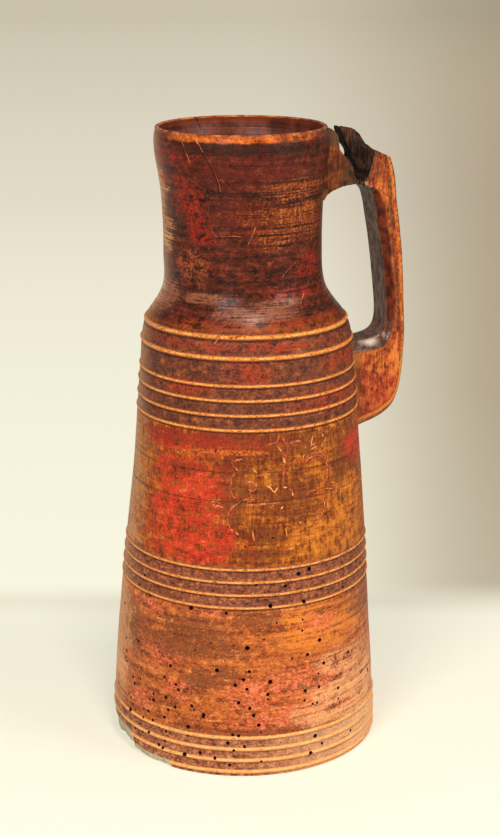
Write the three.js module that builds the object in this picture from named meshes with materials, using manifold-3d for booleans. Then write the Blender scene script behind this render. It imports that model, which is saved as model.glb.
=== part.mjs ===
// A turned wooden flagon with a carved strap handle and no lid.
// Millimetres, +Z up. Every piece is made about the vessel's axis with the handle along +X, and the group
// at the end moves them so that the origin is the centre of the footprint.

import * as THREE from 'three';
import { mergeVertices } from 'three/addons/utils/BufferGeometryUtils.js';
import Module from 'manifold-3d';

const wasm = await Module();
wasm.setup();

// Outside of the vessel, from the rest plane up
const footRise = 22;
const bellyRise = 184;
const shoulderRise = 25;
const neckBaseRise = 16;
const waistRise = 20;
const throatRise = 29;
const flareRise = 27;
const lipRise = 7;
const footRadius = 71.4;
const footTopRadius = 71;
const bellySwell = 0.5;
const bellyTopRadius = 56.8;
const shoulderRadius = 52.7;
const neckBaseRadius = 42.6;
const waistRadius = 40.7;
const throatRadius = 41.8;
const lipRadius = 45.1;
const rimRadius = 43.8;

// Inside of the vessel
const footWall = 10;
const bellyWall = 6.5;
const neckWall = 4.5;
const rimWall = 1.4;

// Turned rings, with the first ring's height, the step to the next and the ridge's half width and height
const footRings = { first: 2.6, step: 6.3, count: 4, half: 0.9, ridge: 0.7 };
const middleRings = { first: 91.8, step: 6.7, count: 4, half: 0.8, ridge: 0.6 };
const upperRings = { first: 184, step: 7.5, count: 4, half: 0.9, ridge: 0.6 };
const shoulderRings = { first: 220.5, step: 10.3, count: 2, half: 1.3, ridge: 0.8 };

// Bottom board, let in from below
const baseRecess = 6.5;
const baseThickness = 11;
const baseRebate = 6.8;
const sealSize = 3.5;
const pegRadius = 2.25;
const pegLength = 15;
const pegCount = 4;
const firstPegAngle = 45;

// Flakes that have split off the foot, with their direction in degrees and their depth at the rest plane
const splitFlakes = [
  { angle: 170, depth: 4.6, height: 13 },
  { angle: 197, depth: 2.6, height: 4.5 },
];

// Handle
const handleWidth = 23.2;
const innerBevel = 4;
const outerBevel = 2;
const earThickness = 7.6;
const tenonWidth = 12;
const lowerTenonHeight = 16;
const lowerTenonLevel = 190;
const upperTenonHeight = 11;
const upperTenonLevel = 308;
const tenonProud = 1.2;
const wedgeDepth = 7;
const wedgeHeight = 2.4;
const fitGap = 0.3;
const openJointGap = 1.2;
const openJointDrop = 11;
const strapBow = 1;

const segments = 40;
const bellyTop = footRise + bellyRise;
const neckStart = bellyTop + shoulderRise + neckBaseRise;
const vesselHeight = neckStart + waistRise + throatRise + flareRise + lipRise;

// Solids

function manifoldOf(geometry) {
  const bare = geometry.clone();
  bare.deleteAttribute('normal');
  bare.deleteAttribute('uv');
  const merged = mergeVertices(bare, 1e-4);
  const vertProperties = new Float32Array(merged.attributes.position.array);
  const triVerts = new Uint32Array(merged.index.array);
  return new wasm.Manifold(new wasm.Mesh({ numProp: 3, vertProperties, triVerts }));
}

function geometryOf(solid) {
  const { vertProperties, triVerts } = solid.getMesh();
  const geometry = new THREE.BufferGeometry();
  geometry.setAttribute('position', new THREE.BufferAttribute(new Float32Array(vertProperties), 3));
  geometry.setIndex(new THREE.BufferAttribute(new Uint32Array(triVerts), 1));
  geometry.computeVertexNormals();
  return geometry;
}

// A turned solid from a closed half outline of [radius, height], listed anticlockwise
function turned(outline) {
  const points = outline.map(([radius, height]) => new THREE.Vector2(radius, height));
  points.push(points[0].clone());
  const geometry = new THREE.LatheGeometry(points, segments);
  geometry.rotateX(Math.PI / 2);
  return manifoldOf(geometry);
}

// A block from x0 to x1, centred on y = 0 and on its level
function block(x0, x1, width, height, level) {
  const geometry = new THREE.BoxGeometry(x1 - x0, width, height);
  geometry.translate((x0 + x1) / 2, 0, level);
  return manifoldOf(geometry);
}

// A plate cut to an outline in the handle's plane, from y0 to y1
function plate(outline, y0, y1) {
  const shape = new THREE.Shape(outline.map(([x, z]) => new THREE.Vector2(x, z)));
  const geometry = new THREE.ExtrudeGeometry(shape, { depth: y1 - y0, bevelEnabled: false });
  geometry.rotateX(Math.PI / 2);
  geometry.translate(0, y1, 0);
  return manifoldOf(geometry);
}

// A bar whose section follows pairs of inner and outer points, with its four long edges bevelled
function bevelledBar(pairs, width) {
  const half = width / 2;
  const rings = pairs.map(({ inner: innerPoint, outer: outerPoint, bevel }) => {
    const inner = new THREE.Vector2(...innerPoint);
    const outer = new THREE.Vector2(...outerPoint);
    const across = outer.clone().sub(inner).normalize();
    const innerSide = inner.clone().addScaledVector(across, bevel);
    const outerSide = outer.clone().addScaledVector(across, -outerBevel);
    const innerHalf = half - Math.min(bevel, innerBevel);
    const outerHalf = half - outerBevel;
    return [
      [inner, -innerHalf], [innerSide, -half], [outerSide, -half], [outer, -outerHalf],
      [outer, outerHalf], [outerSide, half], [innerSide, half], [inner, innerHalf],
    ].map(([point, y]) => [point.x, y, point.y]);
  });
  const sides = rings[0].length;
  const index = [];
  for (let ring = 0; ring + 1 < rings.length; ring += 1) {
    for (let side = 0; side < sides; side += 1) {
      const next = (side + 1) % sides;
      const a = ring * sides + side;
      const b = ring * sides + next;
      index.push(a, a + sides, b, b, a + sides, b + sides);
    }
  }
  const last = (rings.length - 1) * sides;
  for (let side = 1; side + 1 < sides; side += 1) {
    index.push(0, side, side + 1, last, last + side + 1, last + side);
  }
  const geometry = new THREE.BufferGeometry();
  geometry.setAttribute('position', new THREE.Float32BufferAttribute(rings.flat(2), 3));
  geometry.setIndex(index);
  return manifoldOf(geometry);
}

// The vessel's outline

const stations = [
  [0, footRadius],
  [footRise, footTopRadius],
  [footRise + bellyRise / 2, (footTopRadius + bellyTopRadius) / 2 + bellySwell],
  [bellyTop, bellyTopRadius],
  [bellyTop + shoulderRise, shoulderRadius],
  [neckStart, neckBaseRadius],
  [neckStart + waistRise, waistRadius],
  [vesselHeight - lipRise - flareRise, throatRadius],
  [vesselHeight - lipRise, lipRadius],
  [vesselHeight, rimRadius],
];
const curve = new THREE.CubicInterpolant(stations.map(([z]) => z), stations.map(([, radius]) => radius), 1);
const bareRadius = (z) => curve.evaluate(z)[0];

// Wall thickness: the foot's, thinning to the belly's, then the neck's, then thin at the rim
const wallStations = [[baseRecess + baseThickness, footWall], [2 * footRise, bellyWall], [bellyTop, bellyWall],
  [neckStart, neckWall], [vesselHeight - 2 * lipRise, neckWall], [vesselHeight, rimWall]];

function wallAt(z) {
  for (let i = 1; i < wallStations.length; i += 1) {
    const [z0, wall0] = wallStations[i - 1];
    const [z1, wall1] = wallStations[i];
    if (z <= z1) return THREE.MathUtils.lerp(wall0, wall1, THREE.MathUtils.clamp((z - z0) / (z1 - z0), 0, 1));
  }
  return rimWall;
}

const innerRadius = (z) => bareRadius(z) - wallAt(z);

// Outer outline from the rest plane to the rim, with every turned ring on it
function outerOutline(extra = 0) {
  const ringPoints = [footRings, middleRings, upperRings, shoulderRings].flatMap(
    ({ first, step, count, half, ridge }) => Array.from({ length: count }, (_, i) => {
      const z = first + i * step;
      return [[z - half, 0], [z, ridge], [z + half, 0]];
    }).flat(),
  );
  const heights = [];
  for (let z = footRise + 10; z < bellyTop; z += 29) heights.push(z);
  for (let z = bellyTop; z < vesselHeight - lipRise; z += 6) heights.push(z);
  heights.push(vesselHeight - lipRise, vesselHeight - lipRise / 2, vesselHeight - 1, vesselHeight);
  const clear = heights.filter((z) => ringPoints.every(([ringZ]) => Math.abs(ringZ - z) > 2));
  const plain = clear.map((z) => [z, 0]);
  const points = [[0, 0], ...plain, ...ringPoints].sort((a, b) => a[0] - b[0]);
  return points.map(([z, ridge]) => [bareRadius(z) + ridge + extra, z]);
}

const rebateTop = baseRecess + baseThickness;
const rebateRadius = footRadius - baseRebate;

function innerOutline() {
  const heights = [vesselHeight];
  for (let z = vesselHeight - 3; z > neckStart; z -= 9) heights.push(z);
  for (let z = neckStart; z > bellyTop; z -= 8) heights.push(z);
  for (let z = bellyTop; z > rebateTop + 12; z -= 32) heights.push(z);
  heights.push(rebateTop + sealSize, rebateTop);
  return heights.map((z) => [innerRadius(z), z]);
}

function vesselSolid() {
  return turned([...outerOutline(), ...innerOutline(), [rebateRadius, rebateTop], [rebateRadius, 0]]);
}

// The vessel's outside as a solid with no hollow, larger by a gap, to cut what is fitted to it
function vesselSkin(gap) {
  const outline = outerOutline(gap);
  const top = vesselHeight + gap;
  return turned([[0, -gap], [outline[0][0], -gap], ...outline, [outline.at(-1)[0], top], [0, top]]);
}

// What has split off the foot is the wood outside a plane that leans outwards
function flakeCutter({ angle, depth, height }) {
  const reach = footRadius + 10;
  const shape = new THREE.Shape([
    new THREE.Vector2(footRadius - depth, -1),
    new THREE.Vector2(reach, -1),
    new THREE.Vector2(reach, height),
    new THREE.Vector2(footRadius + 1, height),
  ]);
  const geometry = new THREE.ExtrudeGeometry(shape, { depth: 2 * footRadius, bevelEnabled: false });
  geometry.rotateX(Math.PI / 2);
  geometry.translate(0, footRadius, 0);
  geometry.rotateZ(THREE.MathUtils.degToRad(angle));
  return manifoldOf(geometry);
}

// Tenons and their wedges

const tenonEnd = (level) => innerRadius(level) - tenonProud;

function tenon(level, height, gap = 0) {
  return block(tenonEnd(level) - 3 * gap, bareRadius(level) + 4, tenonWidth + 2 * gap, height + 2 * gap, level);
}

// A taper that opens towards the inside of the vessel
function wedge(level, gap = 0) {
  const x0 = tenonEnd(level) - 3 * gap;
  const x1 = tenonEnd(level) + wedgeDepth + gap;
  const thick = wedgeHeight / 2 + gap;
  const thin = wedgeHeight / 6 + gap;
  const half = tenonWidth / 2 + 3 * gap;
  return plate([[x0, level - thick], [x1, level - thin], [x1, level + thin], [x0, level + thick]], -half, half);
}

const mortises = [
  tenon(lowerTenonLevel, lowerTenonHeight, fitGap),
  tenon(upperTenonLevel, upperTenonHeight, fitGap),
];

// Handle outlines in the handle's plane, as [x, z] steps from where each arm's tenon leaves the vessel

const fromArm = (level) => ([x, z]) => [bareRadius(level) + x, level + z];
const fromUpperArm = fromArm(upperTenonLevel);
const fromLowerArm = fromArm(lowerTenonLevel);

// The strap's inner face beside its outer face, with the inner edges' bevel, from the top down
const strapTop = [
  { inner: [25, 7.1], outer: [34.6, 2.6], bevel: 1 },
  { inner: [23.3, -3.4], outer: [36.8, -5], bevel: 1 },
  { inner: [21.3, -11.8], outer: [38, -12.6], bevel: 1 },
  { inner: [26.3, -20.2], outer: [39, -21], bevel: innerBevel },
];

const strapBottom = [
  { inner: [19.4, 40], outer: [29.4, 39], bevel: innerBevel },
  { inner: [19.5, 33.4], outer: [29.9, 27], bevel: innerBevel },
  { inner: [18.9, 29.6], outer: [29.7, 16], bevel: innerBevel },
  { inner: [16.9, 26.6], outer: [29, 4.8], bevel: innerBevel + 1 },
  { inner: [13.7, 24.8], outer: [27, -8], bevel: innerBevel + 2 },
  { inner: [9.7, 23.8], outer: [23.9, -14.8], bevel: innerBevel + 2 },
  { inner: [5.3, 23.3], outer: [16.3, -20.4], bevel: innerBevel + 2 },
  { inner: [-1.3, 23.3], outer: [5.7, -24.1], bevel: innerBevel + 2 },
  { inner: [-12.3, 23.3], outer: [-12.3, -30], bevel: innerBevel + 2 },
];

const farEarOutline = [
  [9.4, 18.1], [19.2, 16.6], [22.8, 14.4], [25.8, 10], [27.5, 7.8], [32.6, 4.2], [32.7, -6],
  [32.7, -18], [30, -19.5], [25.6, -14.3], [20.8, -6.6], [14.9, 1.4], [15.3, 5.3], [12.4, 9.1],
].map(fromUpperArm);

const stubOutline = [
  [-7.3, -17.7], [-3.6, -17.7], [-1.9, -15.2], [2, -13.1], [8.3, -11.6], [16.8, -10.9], [15.4, -8.8],
  [13.1, -4.2], [10.9, 1.9], [6.4, 5.1], [4.5, 12.1], [2.2, 17.2], [-1.7, 19.6], [-7.3, 19.6],
].map(fromUpperArm);

function placedPairs(pairs, place) {
  return pairs.map(({ inner, outer, bevel }) => ({ inner: place(inner), outer: place(outer), bevel }));
}

// The strap bows gently outwards between its two ends
function strapPairs() {
  const top = placedPairs(strapTop, fromUpperArm);
  const bottom = placedPairs(strapBottom, fromLowerArm);
  const above = top.at(-1);
  const below = bottom[0];
  const middle = [0.15, 0.33, 0.5, 0.75].map((t) => {
    const between = (a, b) => [
      THREE.MathUtils.lerp(a[0], b[0], t) + 4 * strapBow * t * (1 - t),
      THREE.MathUtils.lerp(a[1], b[1], t),
    ];
    return {
      inner: between(above.inner, below.inner),
      outer: between(above.outer, below.outer),
      bevel: innerBevel,
    };
  });
  return [...top, ...middle, ...bottom];
}

// Pieces

const pegLevel = baseRecess + baseThickness / 2;

function pegAt(index, gap = 0) {
  const length = pegLength + 2 * gap;
  const geometry = new THREE.CylinderGeometry(pegRadius + gap, pegRadius + gap, length, 12);
  geometry.rotateZ(Math.PI / 2);
  geometry.translate(bareRadius(pegLevel) - pegLength / 2, 0, pegLevel);
  geometry.rotateZ(THREE.MathUtils.degToRad(firstPegAngle + (360 / pegCount) * index));
  return manifoldOf(geometry);
}

const pegNumbers = Array.from({ length: pegCount }, (_, i) => i);

function makeVessel() {
  let solid = vesselSolid();
  for (const mortise of mortises) solid = solid.subtract(mortise);
  for (const flake of splitFlakes) solid = solid.subtract(flakeCutter(flake));
  for (const peg of pegNumbers) solid = solid.subtract(pegAt(peg, fitGap));
  return solid;
}

function makeBase() {
  const radius = rebateRadius - fitGap;
  const top = rebateTop - fitGap;
  let solid = turned([[0, baseRecess], [radius, baseRecess], [radius, top], [0, top]]);
  for (const peg of pegNumbers) solid = solid.subtract(pegAt(peg, fitGap));
  return solid;
}

function makeSeal() {
  const outer = innerRadius(rebateTop + sealSize) - fitGap;
  const corner = innerRadius(rebateTop) - fitGap;
  return turned([[corner - sealSize, rebateTop], [corner, rebateTop], [outer, rebateTop + sealSize]]);
}

function makeGrip() {
  const ear = plate(farEarOutline, handleWidth / 2 - earThickness, handleWidth / 2);
  return bevelledBar(strapPairs(), handleWidth)
    .add(ear)
    .subtract(vesselSkin(fitGap))
    .add(tenon(lowerTenonLevel, lowerTenonHeight))
    .subtract(wedge(lowerTenonLevel, fitGap));
}

function makeStub() {
  const openTop = upperTenonLevel - openJointDrop;
  const openBack = vesselSkin(openJointGap).intersect(block(0, lipRadius, 2 * lipRadius, openTop, openTop / 2));
  return plate(stubOutline, -handleWidth / 2, handleWidth / 2)
    .subtract(vesselSkin(fitGap))
    .subtract(openBack)
    .add(tenon(upperTenonLevel, upperTenonHeight))
    .subtract(wedge(upperTenonLevel, fitGap));
}

// Finishes

const paintedBirch = { color: 0x8a3a16, roughness: 0.45, metalness: 0 };
const handleBirch = { color: 0xa04e1c, roughness: 0.5, metalness: 0 };
const brokenBirch = { color: 0x4a2c18, roughness: 0.8, metalness: 0 };
const plainBirch = { color: 0x6b4a2a, roughness: 0.85, metalness: 0 };
const pitch = { color: 0x1c120c, roughness: 0.4, metalness: 0 };

const handleReach = Math.max(...strapPairs().map(({ outer }) => outer[0]));
const footReach = footRadius + footRings.ridge;
const flagon = new THREE.Group();
flagon.position.x = (footReach - handleReach) / 2;

function addPiece(name, solid, finish) {
  const mesh = new THREE.Mesh(geometryOf(solid), new THREE.MeshStandardMaterial(finish));
  mesh.name = name;
  flagon.add(mesh);
}

addPiece('vessel_body', makeVessel(), paintedBirch);
addPiece('base_disc', makeBase(), plainBirch);
addPiece('base_seal', makeSeal(), pitch);
for (const peg of pegNumbers) addPiece(`base_peg_${peg + 1}`, pegAt(peg), plainBirch);
addPiece('handle_grip', makeGrip(), handleBirch);
addPiece('handle_upper_stub', makeStub(), brokenBirch);
addPiece('lower_tenon_wedge', wedge(lowerTenonLevel), plainBirch);
addPiece('upper_tenon_wedge', wedge(upperTenonLevel), plainBirch);

export default flagon;
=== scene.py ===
import math

import bmesh
import bpy
import numpy as np
from mathutils import Matrix, Vector, noise


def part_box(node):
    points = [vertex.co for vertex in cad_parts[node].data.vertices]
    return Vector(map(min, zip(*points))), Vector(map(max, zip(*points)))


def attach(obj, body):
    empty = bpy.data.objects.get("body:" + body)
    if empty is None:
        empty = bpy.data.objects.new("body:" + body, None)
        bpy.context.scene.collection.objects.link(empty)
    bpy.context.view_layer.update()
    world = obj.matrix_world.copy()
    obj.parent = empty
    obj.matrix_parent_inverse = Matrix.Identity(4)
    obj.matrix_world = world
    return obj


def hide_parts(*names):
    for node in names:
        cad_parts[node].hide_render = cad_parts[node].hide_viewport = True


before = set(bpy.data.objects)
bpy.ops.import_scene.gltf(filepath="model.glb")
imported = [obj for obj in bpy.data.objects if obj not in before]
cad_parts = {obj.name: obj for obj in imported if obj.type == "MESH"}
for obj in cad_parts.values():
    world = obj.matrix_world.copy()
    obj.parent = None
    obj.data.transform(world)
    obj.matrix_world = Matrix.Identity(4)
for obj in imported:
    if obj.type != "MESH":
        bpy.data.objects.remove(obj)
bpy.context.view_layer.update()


# The vessel's shape
# One piece of birch, turned on a lathe to a conical belly, a round shoulder and a waisted neck, with
# fourteen ridges left standing. It is hollow right through, because a narrow neck is turned out from below.

mm = 0.001
axis = sum(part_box("base_seal"), Vector()) / 2
foot_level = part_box("vessel_body")[0].z
height = 330
stations = [
    (0, 71.4), (22, 71), (114, 64.2), (160, 60), (206, 56.3), (231, 52.6), (240, 46.4), (247, 42.6),
    (267, 41.2), (296, 42), (323, 45), (330, 43.8),
]
# How far the old wood has warped at each height, towards the handle and a little to its near side
warps = [
    (0, -1.5), (60, -1.3), (95, -0.6), (115, 0), (150, 0.8), (190, 0.8), (225, 0.6), (245, -0.6),
    (262, -1.4), (300, -1.5), (330, -2),
]
warp_way = np.array([0.927, -0.375, 0])
walls = [(17.5, 10), (44, 6.5), (206, 6.5), (247, 4.5), (316, 4.5), (330, 1.4)]
# Each group of ridges: the first one's height, the step, how many, half the width, how far it stands out
ridges = [(2.6, 6.3, 4, 0.9, 0.7), (91.8, 6.7, 4, 0.8, 0.6), (184, 7.5, 4, 0.9, 0.6),
          (220.5, 10.3, 2, 1.3, 0.8)]
ridge_places = [(first + step * i, half, out) for first, step, count, half, out in ridges
                for i in range(count)]
rebate_radius, rebate_top, recess = 64.6, 17.5, 6.5


def smooth_curve(points):
    """A smooth line through points, each a place and one or more values there."""
    table = np.array(points, float)
    places, values = table[:, 0], table[:, 1:]
    secants = np.diff(values, axis=0) / np.diff(places)[:, None]
    slopes = np.concatenate([secants[:1], (secants[:-1] + secants[1:]) / 2, secants[-1:]])

    def at(place):
        place = np.atleast_1d(place)
        i = np.clip(np.searchsorted(places, place) - 1, 0, len(places) - 2)
        span = (places[i + 1] - places[i])[:, None]
        t = (place[:, None] - places[i][:, None]) / span
        start = (1 + 2 * t) * (1 - t) ** 2 * values[i] + t * (1 - t) ** 2 * span * slopes[i]
        end = t * t * (3 - 2 * t) * values[i + 1] + t * t * (t - 1) * span * slopes[i + 1]
        return start + end

    return at


bare_curve = smooth_curve(stations)


def bare_radius(z):
    return bare_curve(z)[:, 0]


def warp(z):
    """How far the wood has moved at each of some heights, as rows of x, y and z."""
    return np.interp(np.clip(z, 0, height), *np.array(warps).T)[..., None] * warp_way


def relief(z):
    """How far the surface stands out from the bare outline: a rounded ridge over a narrow groove."""
    out = np.zeros_like(z)
    for place, half, ridge in ridge_places:
        away = (z - place) / half
        out += ridge * np.where(np.abs(away) < 1.15, np.cos(away / 1.15 * math.pi / 2) ** 2, 0)
        out -= 0.22 * np.exp(-(((away + 1.6) / 0.45) ** 2)) + 0.1 * np.exp(-(((away - 1.6) / 0.45) ** 2))
    return out


def outside_rows(extra=0):
    """Radius and height of every row of the outside, closest together over the ridges."""
    steps = np.array([-2.3, -1.9, -1.6, -1.3, -1.0, -0.75, -0.5, -0.25, 0, 0.25, 0.5, 0.75, 1.0, 1.3, 1.6,
                      1.9])
    rows = [place + steps * half for place, half, _ in ridge_places]
    taken = np.concatenate(rows)
    open_rows = [z for z in np.arange(4, height - 4, 2.2) if np.abs(taken - z).min() > 0.9]
    z = np.unique(np.round(np.concatenate([[0, 0.35], taken[taken > 0.5], open_rows,
                                           [326.6, 327.6, 328.5]]), 3))
    return np.column_stack([bare_radius(z) + relief(z) + extra, z])


def inside_radius(z):
    return bare_radius(z) - np.interp(z, *np.array(walls).T)


inside_heights = np.concatenate([np.arange(327, 22, -4.5), [21, rebate_top]])
profile = np.concatenate([
    [(71.0, 0)], outside_rows()[1:],
    [(44.25, 329.1), (43.9, 329.65), (43.4, 329.95), (42.9, 330), (42.35, 329.8), (41.95, 329.2)],
    np.column_stack([inside_radius(inside_heights), inside_heights]),
    [(rebate_radius, rebate_top), (rebate_radius, 9), (rebate_radius, recess), (rebate_radius, 0)],
])


class Socket:
    """An output in a node tree, with the sums that a material or a shape is written in."""

    def __init__(self, builder, socket):
        self.builder = builder
        self.socket = socket

    def sum(self, operation, *others):
        return self.builder.add("ShaderNodeMath", {"operation": operation},
                                dict(enumerate([self, *others])))["Value"]

    def __add__(self, other):
        return self.sum("ADD", other)

    def __radd__(self, other):
        return self.sum("ADD", other)

    def __sub__(self, other):
        return self.sum("SUBTRACT", other)

    def __rsub__(self, other):
        return (self * -1) + other

    def __mul__(self, other):
        return self.sum("MULTIPLY", other)

    def __rmul__(self, other):
        return self.sum("MULTIPLY", other)

    def __truediv__(self, other):
        return self.sum("DIVIDE", other)

    def __pow__(self, other):
        return self.sum("POWER", other)

    def either(self, other):
        return self.sum("MAXIMUM", other)

    def both(self, other):
        return self.sum("MINIMUM", other)

    def size(self):
        return self.sum("ABSOLUTE")


class Builder:
    """Adds nodes to a tree."""

    def __init__(self, tree):
        self.tree = tree

    def add(self, kind, settings=None, inputs=None):
        """One node: its settings first, then its inputs by name or number. Returns its outputs by name."""
        made = self.tree.nodes.new(kind)
        for name, value in (settings or {}).items():
            if name == "stops":
                ramp = made.color_ramp
                while len(ramp.elements) < len(value):
                    ramp.elements.new(0.5)
                for element, (place, colour) in zip(ramp.elements, value):
                    element.position = place
                    element.color = colour
            else:
                setattr(made, name, value)
        for name, value in (inputs or {}).items():
            if isinstance(name, int):
                socket = made.inputs[name]
            else:
                socket = next(s for s in made.inputs if s.enabled and s.name == name)
            if isinstance(value, Socket):
                self.tree.links.new(value.socket, socket)
            else:
                socket.default_value = value
        return {s.name: Socket(self, s) for s in made.outputs if s.enabled}


def shape_tree(name, sizes):
    """A geometry tree with named inputs for its sizes, its builder and the sockets it starts from."""
    tree = bpy.data.node_groups.new(name, "GeometryNodeTree")
    tree.interface.new_socket("Geometry", in_out="INPUT", socket_type="NodeSocketGeometry")
    tree.interface.new_socket("Geometry", in_out="OUTPUT", socket_type="NodeSocketGeometry")
    for label, kind in sizes.items():
        tree.interface.new_socket(label, in_out="INPUT", socket_type=kind)
    builder = Builder(tree)
    return tree, builder, builder.add("NodeGroupInput")


def shaped(made, tree, sizes):
    """Runs a geometry tree on an object, with its inputs set first, and leaves a plain mesh."""
    modifier = made.modifiers.new(tree.name, "NODES")
    modifier.node_group = tree
    sockets = {s.name: s.identifier for s in tree.interface.items_tree if s.in_out == "INPUT"}
    for label, value in sizes.items():
        modifier[sockets[label]] = value
    return plain(made)


def plain(made):
    """Turns what the modifiers make of an object into its own mesh, and removes them."""
    graph = bpy.context.evaluated_depsgraph_get()
    mesh = bpy.data.meshes.new_from_object(made.evaluated_get(graph))
    made.modifiers.clear()
    made.data = mesh
    return made


def piece(name, points, faces=(), edges=()):
    """An object from points in millimetres about the vessel's axis, with the rest plane at 0."""
    mesh = bpy.data.meshes.new(name)
    places = np.asarray(points, float) * mm + [axis.x, axis.y, foot_level]
    mesh.from_pydata([tuple(p) for p in places], list(edges), [tuple(f) for f in faces])
    made = bpy.data.objects.new(name, mesh)
    bpy.context.scene.collection.objects.link(made)
    return made


def spots_of(made):
    """Every point of a mesh, in millimetres about the vessel's axis."""
    places = np.zeros(len(made.data.vertices) * 3)
    made.data.vertices.foreach_get("co", places)
    return (places.reshape(-1, 3) - [axis.x, axis.y, foot_level]) / mm


def put(made, places):
    """Moves the points of a mesh to places in millimetres about the vessel's axis."""
    made.data.vertices.foreach_set("co", (places * mm + [axis.x, axis.y, foot_level]).ravel())
    made.data.update()
    return made


turning, t, given = shape_tree("Turning", {
    "Sides": "NodeSocketInt", "Spindle": "NodeSocketFloat", "Wobble": "NodeSocketFloat",
    "Wobble Size": "NodeSocketFloat", "Material": "NodeSocketMaterial"})
centre = t.add("ShaderNodeCombineXYZ", {}, {"X": axis.x, "Y": axis.y, "Z": 0.0})["Vector"]
rail = t.add("GeometryNodeCurvePrimitiveCircle", {}, {"Resolution": given["Sides"],
                                                      "Radius": given["Spindle"]})
outline = t.add("GeometryNodeMeshToCurve", {}, {"Mesh": given["Geometry"]})["Curve"]
swept = t.add("GeometryNodeCurveToMesh", {}, {"Curve": rail["Curve"], "Profile Curve": outline})["Mesh"]
swept = t.add("GeometryNodeMergeByDistance", {}, {"Geometry": swept, "Distance": 0.00002})["Geometry"]
place = t.add("GeometryNodeInputPosition")["Position"]
flat = t.add("ShaderNodeVectorMath", {"operation": "MULTIPLY"}, {0: place, 1: (1, 1, 0)})["Vector"]
outward = t.add("ShaderNodeVectorMath", {"operation": "NORMALIZE"}, {0: flat})["Vector"]
waver = t.add("ShaderNodeTexNoise", {}, {"Vector": place, "Scale": given["Wobble Size"], "Detail": 2.0})
waver = (waver["Fac"] - 0.5) * given["Wobble"]
shift = t.add("ShaderNodeVectorMath", {"operation": "SCALE"}, {0: outward, "Scale": waver})["Vector"]
shift = t.add("ShaderNodeVectorMath", {"operation": "ADD"}, {0: shift, 1: centre})["Vector"]
moved = t.add("GeometryNodeSetPosition", {}, {"Geometry": swept, "Offset": shift})["Geometry"]
realized = t.add("GeometryNodeRealizeInstances", {}, {"Geometry": moved})["Geometry"]
finished = t.add("GeometryNodeSetMaterial", {}, {"Geometry": realized,
                                                 "Material": given["Material"]})["Geometry"]
t.add("NodeGroupOutput", {}, {"Geometry": finished})


def turned(name, outline, sides, wobble, wobble_size, material, spindle=20):
    """A turned solid from a closed outline of radius and height, in millimetres."""
    count = len(outline)
    mesh = bpy.data.meshes.new(name)
    points = [((radius - spindle) * mm, -z * mm - foot_level, 0) for radius, z in outline[::-1]]
    mesh.from_pydata(points, [(i, (i + 1) % count) for i in range(count)], [])
    made = bpy.data.objects.new(name, mesh)
    bpy.context.scene.collection.objects.link(made)
    shaped(made, turning, {"Sides": sides, "Spindle": spindle * mm, "Wobble": wobble * mm,
                           "Wobble Size": wobble_size, "Material": material})
    places = spots_of(made)
    return put(made, places + warp(places[:, 2]))


def colour(red, green, blue):
    """A colour as seen on screen, in 0 to 255, as the values a shader needs."""
    seen = [c / 255 for c in (red, green, blue)]
    return tuple(c / 12.92 if c <= 0.04045 else ((c + 0.055) / 1.055) ** 2.4 for c in seen) + (1,)


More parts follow.
